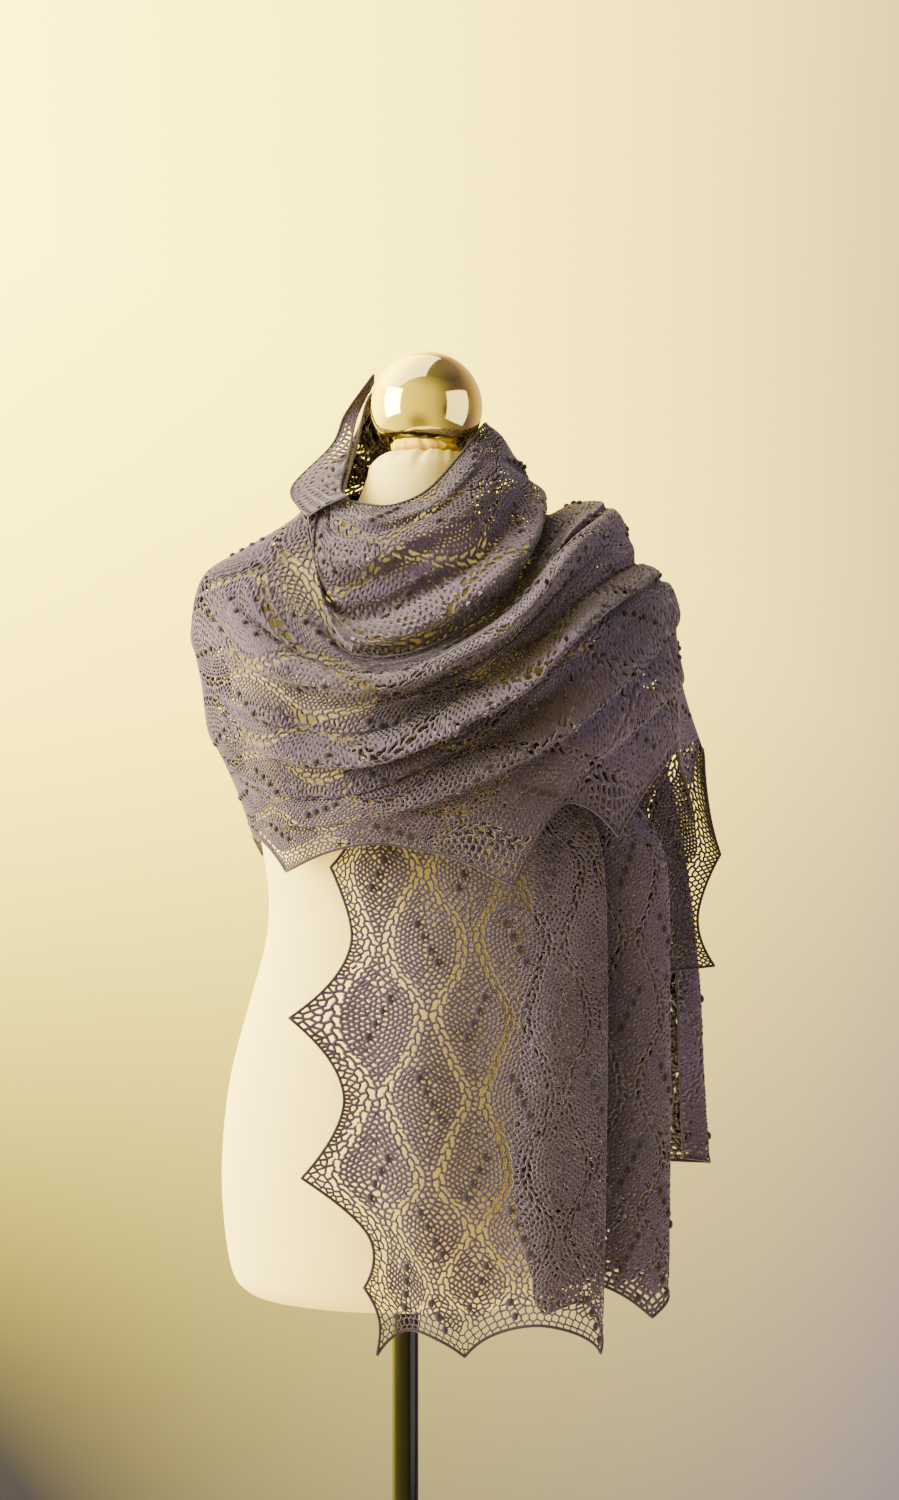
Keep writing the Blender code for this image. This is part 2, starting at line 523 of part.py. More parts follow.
def build_cloth(look):
    rest = WALL / 2 + FORM_GAP
    roll_rows, wrap_rows = net_of(ROLL_FOLDS, ROLL_PLACES), net_of(WRAP_FOLDS, WRAP_PLACES)
    under_rows, over_rows = net_of(UNDER_LEVELS, UNDER_LINES), net_of(OVER_LEVELS, OVER_LINES)

    roll_net = np.concatenate([roll_rows, wrap_rows[:1, 1:]]).transpose(1, 0, 2)
    roll = sheet_surface(roll_net, closed=True, clearance=rest)
    stretch("neck_roll_front", roll, (3.0, 9.0, 0.0, 5.0), (24, 10), look, (4, 2, 1), (1, 1, 0, 2))
    stretch("neck_roll_back", roll, (9.0, 15.0, 0.0, 5.0), (20, 10), look, (4, 2, 1), (1, 1, 0, 1))

    upper = np.array([[ROLL_START["lower_ridge"]], [ROLL_START["tuck"]]])
    upper = np.concatenate([upper, roll_rows[4:6]], axis=1)
    wrap_net = np.concatenate([upper, wrap_rows]).transpose(1, 0, 2)
    beyond = np.concatenate([roll_rows[4:6, 0], over_rows[0, 1:5], under_rows[0, 1:]])[None]
    wrap_net = np.concatenate([wrap_net, beyond])
    wrap = sheet_surface(wrap_net, clearance=rest, edges=(("last", WRAP_TIPS, SCALLOP_DEPTH),))
    edge = (WRAP_TIPS, ())
    stretch("back_wrap", wrap, (0.0, 3.0, 1.0, 10.0), (11, 16), look, (3, 3, 1), (0, 1, 4, 0), edge)
    stretch("chest_wrap", wrap, (3.0, 10.0, 1.0, 10.0), (28, 16), look, (3, 3, 1), (1, 1, 7, 0), edge)
    stretch("shoulder_wrap", wrap, (10.0, 12.0, 1.0, 10.0), (7, 16), look, (3, 3, 1), (1, 1, 6, 0), edge)

    front = sheet_surface(
        net_of(FRONT_LEVELS, FRONT_LINES), clearance=rest,
        edges=(("first", FRONT_SIDE_TIPS, SCALLOP_DEPTH), ("end", FRONT_END_TIPS, END_DEPTH)),
    )
    edge = (FRONT_SIDE_TIPS, FRONT_END_TIPS)
    outer, inner = (0.0, 6.0, 0.0, 6.5), (0.0, 6.0, 6.5, 13.0)
    stretch("front_fall_outer", front, outer, (26, 16), look, (4, 2, 2), (0, 0, 0, 1), edge)
    stretch("front_fall_inner", front, inner, (19, 13), look, (4, 2, 2), (0, 0, 1, 0), edge)

    # The falls begin on the wrap's last place, and the place before it gives their first direction
    lines = np.array(LINES_INTO_FALLS)
    last_two = np.stack([wrap(np.full(len(lines), place), lines) for place in (11.0, 12.0)])
    over_net = np.concatenate([last_two[:, [0, 1, 2, 3, 4, 4]], over_rows])
    over_net[:2, 5] += np.array(FOLD_TURN)
    under_net = np.concatenate([last_two[:, [5, 6, 7, 8, 9, 9]], under_rows])
    under_net[:2, 5] = wrap(np.array([11.0, 12.0]), np.array([10.0, 10.0]))
    over = sheet_surface(over_net, clearance=rest)
    under = sheet_surface(under_net, clearance=rest, edges=(("last", UNDER_TIPS, SHORT_DEPTH),))
    stretch("back_fall_over", over, (1.0, 6.0, 0.0, 5.0), (18, 12), look, (3, 2, 1), (4, 0, 0, 0))
    edge = (UNDER_TIPS, ())
    stretch("back_fall_under", under, (1.0, 5.0, 0.0, 5.0), (12, 12), look, (3, 2, 1), (4, 0, 0, 0), edge)

    flap = sheet_surface(net_of(FLAP_LEVELS, FLAP_LINES))
    stretch("neck_flap", flap, (0.0, 5.0, 0.0, 2.0), (15, 3), look, (3, 1, 1))


def build_form(finish, group):
    """The limbless torso: level rings joined into one closed skin, dished under the ball."""
    rings = [((wide, deep), (mid_x, mid_y), height) for height, wide, deep, mid_x, mid_y in FORM_SECTIONS]
    rings += [((radius, radius), BALL_CENTRE[:2], height) for radius, height in NECK_DISH]
    shell = bmesh.new()
    loops = []
    for (wide, deep), (mid_x, mid_y), height in rings:
        turns = [2 * math.pi * k / FORM_SEGMENTS for k in range(FORM_SEGMENTS)]
        loops.append([
            shell.verts.new((mid_x + wide * math.cos(turn), mid_y + deep * math.sin(turn), height))
            for turn in turns
        ])
    for low, high in zip(loops, loops[1:]):
        for k in range(FORM_SEGMENTS):
            n = (k + 1) % FORM_SEGMENTS
            shell.faces.new((low[k], low[n], high[n], high[k]))
    shell.faces.new(reversed(loops[0]))
    shell.faces.new(loops[-1])
    mesh = bpy.data.meshes.new("torso")
    shell.to_mesh(mesh)
    shell.free()
    made = add_mesh("torso", mesh, finish, group)
    made.data.shade_smooth()
    return made


def add_turned(name, profile, segments, finish, group):
    """A piece turned about the upright axis at its origin, from its (radius, height) profile."""
    mesh = bpy.data.meshes.new(name)
    points = [(radius, 0.0, height) for radius, height in profile]
    mesh.from_pydata(points, [(k, k + 1) for k in range(len(points) - 1)], [])
    made = add_mesh(name, mesh, finish, group)
    turn = made.modifiers.new("turn", "SCREW")
    turn.steps = turn.render_steps = segments
    turn.use_merge_vertices = True
    turn.merge_threshold = 0.0001
    turn.use_smooth_shade = True
    return made


def add_primitive(name, finish, group):
    """Takes the primitive just added into the group under a name, with its finish."""
    made = bpy.context.object
    made.name = made.data.name = name
    made.data.materials.append(material_of(name + "_" + finish, finish))
    made.data.shade_smooth()
    for home in made.users_collection:
        home.objects.unlink(made)
    group.objects.link(made)
    return made


def build_stand(group):
    """Ball on the neck, pole below the torso, and its round foot."""
    bpy.ops.mesh.primitive_uv_sphere_add(
        segments=24, ring_count=14, radius=BALL_RADIUS, location=BALL_CENTRE
    )
    add_primitive("neck_ball", "polished_brass", group)
    top, foot = FORM_SECTIONS[0][0] - PIECE_GAP, HUB_HEIGHT + PIECE_GAP
    bpy.ops.mesh.primitive_cylinder_add(
        vertices=20, radius=POLE_RADIUS, depth=top - foot, location=(0.0, 0.0, (top + foot) / 2)
    )
    add_primitive("pole", "polished_steel", group)
    base = (
        (0.0, HUB_HEIGHT), (HUB_RADIUS - 0.003, HUB_HEIGHT), (HUB_RADIUS, 0.020), (HUB_RADIUS + 0.020, 0.016),
        (BASE_RADIUS - 0.004, BASE_RIM), (BASE_RADIUS, BASE_RIM - 0.003), (BASE_RADIUS, 0.003),
        (BASE_RADIUS - 0.003, 0.0), (0.0, 0.0),
    )
    add_turned("base", base, 32, "painted_foot", group)


def main():
    clear_scene()
    group = collection_of("lace_shawl_on_dress_form")
    build_form("cream_jersey", group)
    build_stand(group)
    build_cloth(("lace_knit", group))


main()
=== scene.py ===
"""Looks of the lace shawl on its dress form: yarn, leaf lace, jersey, brass and steel."""

import math

import bmesh
import bpy
import numpy as np
from bpy.props import FloatProperty, FloatVectorProperty, IntProperty, PointerProperty
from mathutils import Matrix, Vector
from mathutils.geometry import delaunay_2d_cdt
from mathutils.kdtree import KDTree


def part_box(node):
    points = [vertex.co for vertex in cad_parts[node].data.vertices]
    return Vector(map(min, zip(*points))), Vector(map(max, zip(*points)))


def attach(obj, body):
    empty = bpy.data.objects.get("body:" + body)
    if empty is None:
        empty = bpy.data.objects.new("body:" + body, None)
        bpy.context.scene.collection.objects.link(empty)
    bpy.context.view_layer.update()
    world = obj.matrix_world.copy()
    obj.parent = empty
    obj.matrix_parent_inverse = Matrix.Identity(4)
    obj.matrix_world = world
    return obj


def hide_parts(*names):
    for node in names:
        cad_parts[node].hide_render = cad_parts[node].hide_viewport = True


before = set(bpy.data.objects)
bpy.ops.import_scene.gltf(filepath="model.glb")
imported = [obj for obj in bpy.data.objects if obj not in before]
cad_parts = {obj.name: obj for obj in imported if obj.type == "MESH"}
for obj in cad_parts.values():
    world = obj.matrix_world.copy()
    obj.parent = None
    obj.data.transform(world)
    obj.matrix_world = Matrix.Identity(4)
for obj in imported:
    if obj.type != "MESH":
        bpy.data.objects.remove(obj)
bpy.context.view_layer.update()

bl_info = {
    "name": "Lace shawl on a dress form",
    "version": (1, 0, 0),
    "blender": (4, 5, 0),
    "location": "View3D > Sidebar > Shawl",
    "description": "Builds the knitted lace, the dress form, its stand and a plain studio",
    "category": "Object",
}

# Wall and edge of the cloth, as in the solids that the lace lies on
WALL = 0.0020
FORM_GAP = 0.0017
SCALLOP_DEPTH = 0.034
SHORT_DEPTH = 0.020
END_DEPTH = 0.028
ARC_POWER = 1.8
LONGEST_ARC = 0.85

# Pattern of the lace on the flat cloth, in metres
LEAF_COLUMN = 0.035      # from one column of leaves to the next
LEAF_REPEAT = 0.140      # from one leaf to the next in its column
LADDER_SWING = 0.0105    # how far a ladder of eyelets swings round the leaves
LADDER_DRIFT = 0.0011    # how unevenly it lies besides
LADDER_RUNG = 0.0104     # from one ladder eyelet to the next
LADDER_PARTS = 3         # stitches that are merged along one ladder eyelet
LADDER_LEAN = 0.0026     # how far an eyelet leans to the side from end to end
LADDER_SIDE = 0.0023     # from a ladder's middle to the middles of its two columns of eyelets
LADDER_CLEAR = 0.0068    # from a ladder's middle to the nearest stitches of a leaf
LEAF_ROW = 0.0033        # from one row of stitches to the next inside a leaf
LEAF_MESH = 0.0045       # from one stitch to the next in such a row
BORDER_WIDTH = 0.033     # from the line through the edge's points to the first ladder
BORDER_MESH = 0.0066     # from one stitch of the border's net to the next
BORDER_ROWS = 4
EDGE_ROW = 0.0036        # depth of the row of small gaps inside the edge cord
EDGE_STEP = 0.0068       # and their length
CORD_STEP, CORD_SIDES = 0.0034, 5
HEM_ROWS = 3
HEM_CLEAR = 0.0165       # from the hem to the leaves
STITCH_WOBBLE = 0.36     # how unevenly the stitches lie, as a share of their spacing
SHORT_EDGE = 0.00045     # junctions closer than this become one
CLOSEST_SEEDS = 0.0026
LADDER_HOLE, BORDER_HOLE, LEAF_HOLE = range(3)
THIN_YARN = (0.85, 0.75, 1.0)  # yarn round each kind of hole, as a share of a leaf's
NUPP_ACROSS, NUPP_ALONG = 0.0048, 0.0112
PACKED_YARN_PAINTED_SHADE = 0.45       # painted shade: how much darker the yarn is drawn on bobbles and cords, for the shade inside packed yarn
NUPPS_A_LEAF = 4
BOBBLE_SHAPE = (0.42, 0.58, 0.30)     # half sizes across, along and out, of its length
GHOST_REACH = 0.014      # how far past a straight side the stitches are mirrored

# Half widths of yarn between which a hole closes further, and the share of it that closes
FULL_YARN = (0.0018, 0.0025)
FULL_REACH = (0.76, 0.93)

CREASE_STEEP, CREASE_DITCH, CREASE_SAG = 0.6, 0.75, 0.8

# Crisp folds of the worn cloth: crest (place, line, height in metres) points and half width in metres
ROLL_CREASES = (
    (((3.3, 0.5, 0.0), (4.2, 1.0, 0.0048), (5.5, 1.1, 0.0048), (7.0, 1.0, 0.0048), (9.0, 0.9, 0.0)), 0.006),
    (((3.6, 1.5, 0.0), (4.4, 2.0, 0.0064), (5.4, 2.1, 0.0064), (6.6, 1.9, 0.0048), (8.2, 1.7, 0.0)), 0.006),
    (((3.8, 2.2, 0.0), (4.5, 2.9, 0.008), (5.5, 3.0, 0.008), (6.8, 2.8, 0.008), (8.6, 2.5, 0.0)), 0.007),
    ((
        (3.7, 3.2, 0.0), (4.4, 4.0, 0.0108), (5.4, 4.1, 0.0121),
        (6.8, 4.05, 0.0121), (8.4, 4.0, 0.0081), (10.5, 3.9, 0.0),
    ), 0.010),
    (((2.6, 0.8, 0.0), (2.8, 2.2, 0.0078), (3.1, 3.6, 0.0091), (3.5, 5.4, 0.0)), 0.007),
    (((3.1, 0.8, 0.0), (3.35, 2.0, 0.0078), (3.6, 3.4, 0.0104), (4.1, 4.9, 0.0)), 0.006),
    (((2.0, 1.2, 0.0), (2.2, 2.6, 0.0065), (2.5, 4.2, 0.0078), (2.9, 5.6, 0.0)), 0.007),
    (((8.4, 1.2, 0.0), (9.2, 2.1, 0.007), (10.4, 2.9, 0.007), (12.0, 3.0, 0.0056), (14.0, 2.8, 0.0)), 0.008),
    (((9.4, 0.9, 0.0), (10.4, 1.5, 0.0056), (12.0, 1.7, 0.0056), (14.4, 1.6, 0.0)), 0.007),
)
WRAP_CREASES = (
    ((
        (2.6, 4.2, 0.0), (3.6, 4.1, 0.0028), (5.0, 4.1, 0.0126),
        (7.0, 4.05, 0.0154), (8.5, 4.0, 0.0154), (10.2, 3.9, 0.0),
    ), 0.011),
    ((
        (2.8, 6.1, 0.0), (3.8, 6.0, 0.0028), (5.0, 6.05, 0.0112),
        (7.0, 6.0, 0.0168), (9.0, 5.95, 0.0168), (10.8, 5.8, 0.0),
    ), 0.012),
    (((6.2, 8.2, 0.0), (7.2, 8.0, 0.0056), (8.4, 7.85, 0.0112), (9.4, 7.6, 0.0126), (10.6, 7.2, 0.0)), 0.011),
    (((3.6, 2.3, 0.0), (4.6, 2.9, 0.0065), (6.0, 3.2, 0.0052), (7.5, 3.1, 0.0)), 0.007),
    (((3.4, 5.0, 0.0), (4.4, 5.2, 0.0039), (5.6, 5.1, 0.0039), (7.0, 4.9, 0.0)), 0.006),
    (((3.3, 7.1, 0.0), (4.3, 7.3, 0.0039), (5.6, 7.2, 0.0052), (7.2, 6.9, 0.0039), (8.6, 6.7, 0.0)), 0.007),
    (((3.4, 8.4, 0.0), (4.4, 8.5, 0.0036), (5.8, 8.4, 0.0)), 0.006),
    (((7.6, 2.0, 0.0), (8.6, 2.5, 0.0078), (9.6, 2.9, 0.0078), (11.0, 3.0, 0.0)), 0.008),
    (((8.0, 5.0, 0.0), (9.0, 4.9, 0.0065), (10.0, 4.8, 0.0078), (11.4, 4.8, 0.0)), 0.008),
    (((8.4, 9.0, 0.0), (9.2, 8.6, 0.0048), (10.2, 8.3, 0.0048), (11.2, 8.2, 0.0)), 0.008),
)

# Jersey of the neck gathers into tucks between these heights
TUCK_START, TUCK_FULL = 1.488, 1.508

# Camera of the photograph: level, looking along +Y, framed for an 899 by 1500 image
CAMERA_PLACE = (0.041, -2.2, 1.2348)
CAMERA_LENS = 36.0 * 2365 / 1500
FLOOR_RADIUS = 1.5

# Colours of the air round the scene: left, right, and how it darkens towards the floor
AIR_LEFT = (1.0, 0.77, 0.042)
AIR_RIGHT = (0.125, 0.086, 0.042)
AIR_LOW = (0.36, 0.37, 1.0)
AIR_STRENGTH = 11.0

# Colour of the air in front of the form, at the left and at the right of it
ROOM_LEFT = (0.24, 0.195, 0.036)
ROOM_RIGHT = (0.075, 0.058, 0.026)

# Darker parts of the air: direction, how far round it they reach, and the colour that they leave
AIR_SHADES = (
    ((-0.27, 0.89, -0.36), (0.13, 0.58), (0.036, 0.037, 0.19)),
    ((0.16, 0.89, -0.42), (0.05, 0.50), (0.58, 0.60, 1.00)),
    ((-0.28, -0.73, -0.63), (0.16, 0.52), (0.34, 0.34, 0.50)),
    ((0.73, -0.66, -0.17), (0.10, 0.30), (0.30, 0.30, 0.45)),
    ((1.0, -0.20, 0.0), (0.55, 1.10), (0.36, 0.35, 0.58)),
    ((0.30, 0.0, 0.95), (0.50, 1.05), (0.24, 0.25, 0.60)),
)

# Soft lights: name, place, point they look at, width and height, power and colour
SOFTBOXES = (
    ("window_light", (-2.7, -0.75, 1.9), (0.0, 0.0, 1.2), (2.0, 2.3), 500.0, (1.0, 0.92, 0.66)),
    ("fill_light", (2.9, -1.1, 1.4), (0.0, 0.0, 1.2), (3.0, 3.2), 95.0, (1.0, 0.90, 0.80)),
    ("top_light", (-0.8, 0.2, 3.0), (0.0, 0.0, 1.2), (2.4, 2.4), 60.0, (1.0, 0.96, 0.90)),
)


# Dress form, as level sections from the underside to the top of the neck
FORM_COLUMNS = ("height", "half_width", "half_depth", "centre_x", "centre_y")
FORM_SECTIONS = (
    (0.730, 0.132, 0.086, 0.000, 0.004),
    (0.735, 0.148, 0.098, 0.000, 0.004),
    (0.752, 0.161, 0.108, 0.000, 0.004),
    (0.800, 0.169, 0.115, 0.000, 0.005),
    (0.860, 0.1705, 0.117, 0.000, 0.006),
    (0.930, 0.163, 0.111, 0.000, 0.005),
    (1.000, 0.145, 0.098, 0.000, 0.003),
    (1.050, 0.131, 0.089, 0.000, 0.001),
    (1.090, 0.1265, 0.087, 0.000, -0.001),
    (1.130, 0.130, 0.092, 0.000, -0.003),
    (1.175, 0.139, 0.103, 0.000, -0.006),
    (1.220, 0.149, 0.114, 0.000, -0.008),
    (1.265, 0.156, 0.118, 0.000, -0.008),
    (1.310, 0.164, 0.112, 0.000, -0.005),
    (1.350, 0.176, 0.101, 0.000, 0.000),
    (1.382, 0.184, 0.088, 0.001, 0.003),
    (1.401, 0.172, 0.080, 0.002, 0.005),
    (1.416, 0.146, 0.073, 0.003, 0.006),
    (1.428, 0.112, 0.067, 0.005, 0.006),
    (1.439, 0.081, 0.061, 0.006, 0.004),
    (1.450, 0.061, 0.055, 0.008, 0.000),
    (1.468, 0.052, 0.050, 0.009, -0.003),
    (1.484, 0.0485, 0.047, 0.012, -0.005),
    (1.497, 0.0465, 0.045, 0.014, -0.006),
    (1.505, 0.041, 0.040, 0.016, -0.006),
)

# Padded top of the neck, from its rim inward to the dimple that holds the ball
NECK_DISH = ((0.0345, 1.5095), (0.027, 1.5075), (0.018, 1.5025), (0.008, 1.4998))

# Ball on the neck
BALL_RADIUS = 0.0519
BALL_CENTRE = (0.0197, -0.006, 1.5525)
# Neck roll: each row is one fold line round the neck, each column a place round the body
ROLL_PLACES = (
    "back_centre", "back_left", "left_arm", "left_front", "left_breast", "centre_left",
    "centre", "right_breast", "right_front", "right_arm", "over_right", "behind_right",
)
ROLL_FOLDS = {
    "rim": (
        (0.014, 0.066, 1.538), (-0.030, 0.050, 1.575), (-0.047, 0.014, 1.516), (-0.052, -0.025, 1.490),
        (-0.054, -0.058, 1.464), (-0.035, -0.082, 1.455), (-0.009, -0.091, 1.453), (0.021, -0.084, 1.467),
        (0.050, -0.052, 1.502), (0.072, -0.002, 1.536), (0.074, 0.028, 1.540), (0.058, 0.054, 1.537),
    ),
    "shoulder_of_rim": (
        (0.013, 0.078, 1.520), (-0.036, 0.062, 1.538), (-0.061, 0.016, 1.508), (-0.063, -0.030, 1.484),
        (-0.064, -0.074, 1.447), (-0.037, -0.102, 1.441), (-0.007, -0.110, 1.441), (0.031, -0.101, 1.456),
        (0.064, -0.064, 1.494), (0.088, -0.002, 1.525), (0.088, 0.036, 1.525), (0.070, 0.066, 1.520),
    ),
    "upper_ridge": (
        (0.012, 0.092, 1.492), (-0.046, 0.078, 1.500), (-0.077, 0.018, 1.492), (-0.075, -0.037, 1.472),
        (-0.075, -0.098, 1.406), (-0.037, -0.127, 1.402), (0.000, -0.129, 1.416), (0.050, -0.115, 1.436),
        (0.088, -0.073, 1.473), (0.104, -0.002, 1.501), (0.102, 0.044, 1.497), (0.083, 0.078, 1.493),
    ),
    "upper_hollow": (
        (0.012, 0.096, 1.470), (-0.053, 0.086, 1.476), (-0.086, 0.018, 1.476), (-0.082, -0.042, 1.462),
        (-0.072, -0.104, 1.378), (-0.035, -0.119, 1.368), (0.010, -0.120, 1.384), (0.060, -0.108, 1.407),
        (0.095, -0.070, 1.447), (0.113, -0.002, 1.487), (0.109, 0.047, 1.478), (0.092, 0.082, 1.474),
    ),
    "lower_ridge": (
        (0.012, 0.104, 1.452), (-0.062, 0.093, 1.457), (-0.094, 0.018, 1.461), (-0.087, -0.045, 1.453),
        (-0.064, -0.131, 1.353), (-0.028, -0.150, 1.334), (0.030, -0.153, 1.352), (0.084, -0.134, 1.388),
        (0.120, -0.084, 1.429), (0.124, -0.002, 1.477), (0.118, 0.052, 1.465), (0.101, 0.087, 1.461),
    ),
    "tuck": (
        (0.012, 0.108, 1.432), (-0.072, 0.096, 1.438), (-0.100, 0.018, 1.448), (-0.090, -0.047, 1.441),
        (-0.060, -0.119, 1.336), (-0.026, -0.136, 1.316), (0.026, -0.139, 1.326), (0.081, -0.123, 1.363),
        (0.105, -0.064, 1.396), (0.130, -0.002, 1.452), (0.124, 0.052, 1.445), (0.111, 0.090, 1.438),
    ),
}

# Wrap over the shoulders and chest, from the tuck under the roll down to the points of its edge
WRAP_PLACES = ("back_right",) + ROLL_PLACES
WRAP_FOLDS = {
    "shoulder": (
        (0.096, 0.092, 1.402), (0.006, 0.100, 1.404), (-0.098, 0.086, 1.408), (-0.150, 0.006, 1.421),
        (-0.126, -0.062, 1.405), (-0.084, -0.112, 1.345), (-0.034, -0.142, 1.310), (0.024, -0.148, 1.318),
        (0.086, -0.134, 1.352), (0.133, -0.086, 1.408), (0.156, -0.002, 1.462), (0.146, 0.050, 1.455),
        (0.134, 0.092, 1.430),
    ),
    "shoulder_hollow": (
        (0.106, 0.093, 1.378), (0.000, 0.096, 1.375), (-0.124, 0.082, 1.380), (-0.188, 0.006, 1.396),
        (-0.148, -0.080, 1.365), (-0.086, -0.122, 1.322), (-0.034, -0.148, 1.303), (0.022, -0.158, 1.312),
        (0.090, -0.144, 1.354), (0.142, -0.092, 1.420), (0.180, -0.004, 1.464), (0.170, 0.050, 1.456),
        (0.158, 0.092, 1.424),
    ),
    "first_ridge": (
        (0.116, 0.100, 1.360), (-0.006, 0.134, 1.356), (-0.140, 0.104, 1.350), (-0.199, 0.004, 1.346),
        (-0.134, -0.116, 1.319), (-0.082, -0.150, 1.304), (-0.030, -0.168, 1.296), (0.020, -0.172, 1.305),
        (0.095, -0.160, 1.348), (0.152, -0.103, 1.411), (0.199, -0.007, 1.450), (0.193, 0.048, 1.443),
        (0.181, 0.092, 1.410),
    ),
    "first_hollow": (
        (0.122, 0.092, 1.344), (-0.008, 0.108, 1.330), (-0.140, 0.072, 1.305), (-0.190, 0.002, 1.300),
        (-0.136, -0.098, 1.276), (-0.082, -0.124, 1.262), (-0.032, -0.140, 1.256), (0.022, -0.145, 1.274),
        (0.098, -0.134, 1.317), (0.160, -0.089, 1.378), (0.211, -0.007, 1.414), (0.209, 0.044, 1.405),
        (0.204, 0.090, 1.378),
    ),
    "second_ridge": (
        (0.124, 0.104, 1.330), (-0.010, 0.136, 1.312), (-0.142, 0.106, 1.272), (-0.183, 0.000, 1.254),
        (-0.126, -0.112, 1.241), (-0.078, -0.144, 1.234), (-0.030, -0.160, 1.235), (0.022, -0.168, 1.254),
        (0.100, -0.167, 1.295), (0.163, -0.129, 1.355), (0.229, -0.012, 1.399), (0.229, 0.040, 1.388),
        (0.226, 0.088, 1.362),
    ),
    "second_hollow": (
        (0.124, 0.096, 1.316), (-0.010, 0.112, 1.290), (-0.130, 0.080, 1.240), (-0.168, 0.000, 1.224),
        (-0.122, -0.094, 1.210), (-0.076, -0.124, 1.204), (-0.030, -0.137, 1.208), (0.022, -0.142, 1.226),
        (0.102, -0.136, 1.262), (0.165, -0.110, 1.322), (0.243, -0.016, 1.380), (0.246, 0.034, 1.366),
        (0.244, 0.084, 1.335),
    ),
    "third_ridge": (
        (0.124, 0.104, 1.302), (-0.010, 0.134, 1.270), (-0.130, 0.104, 1.212), (-0.157, 0.000, 1.199),
        (-0.116, -0.102, 1.186), (-0.074, -0.132, 1.182), (-0.028, -0.150, 1.185), (0.022, -0.158, 1.197),
        (0.102, -0.162, 1.232), (0.170, -0.136, 1.271), (0.247, -0.022, 1.322), (0.254, 0.028, 1.315),
        (0.262, 0.080, 1.300),
    ),
    "border": (
        (0.122, 0.100, 1.290), (-0.008, 0.130, 1.246), (-0.122, 0.100, 1.180), (-0.145, 0.000, 1.166),
        (-0.110, -0.098, 1.158), (-0.070, -0.130, 1.158), (-0.026, -0.142, 1.160), (0.022, -0.146, 1.163),
        (0.100, -0.148, 1.182), (0.172, -0.126, 1.216), (0.245, -0.030, 1.248), (0.257, 0.020, 1.254),
        (0.275, 0.076, 1.262),
    ),
    "points": (
        (0.120, 0.100, 1.270), (-0.006, 0.128, 1.214), (-0.112, 0.098, 1.142), (-0.136, 0.000, 1.136),
        (-0.104, -0.100, 1.127), (-0.066, -0.132, 1.126), (-0.024, -0.144, 1.126), (0.024, -0.150, 1.126),
        (0.096, -0.156, 1.118), (0.182, -0.130, 1.157), (0.241, -0.040, 1.172), (0.260, 0.014, 1.192),
        (0.288, 0.070, 1.222),
    ),
}

# The wrap's first place behind the neck, where it starts under the falls
ROLL_START = {"lower_ridge": (0.086, 0.090, 1.450), "tuck": (0.086, 0.094, 1.430)}

# Places of the points along the scalloped edges, counted in places or lines of their tables
WRAP_TIPS = (-0.4, 1.2, 2.7, 4.0, 8.0, 9.1, 11.3, 14.0)
FRONT_SIDE_TIPS = (-0.2, 1.0, 2.08, 3.0, 4.0, 5.1, 6.0)
FRONT_END_TIPS = (0.0, 2.6, 5.1, 7.6, 10.4, 13.0)

# Depth of each arc of the front fall beside others, shallow next to the corner of the cloth
FRONT_SIDE_SHARES = (1.0, 1.0, 1.0, 1.0, 1.0, 0.30)
FRONT_END_SHARES = (0.80, 1.0, 1.0, 1.0, 1.0)
UNDER_TIPS = (0.3, 3.0, 5.0)

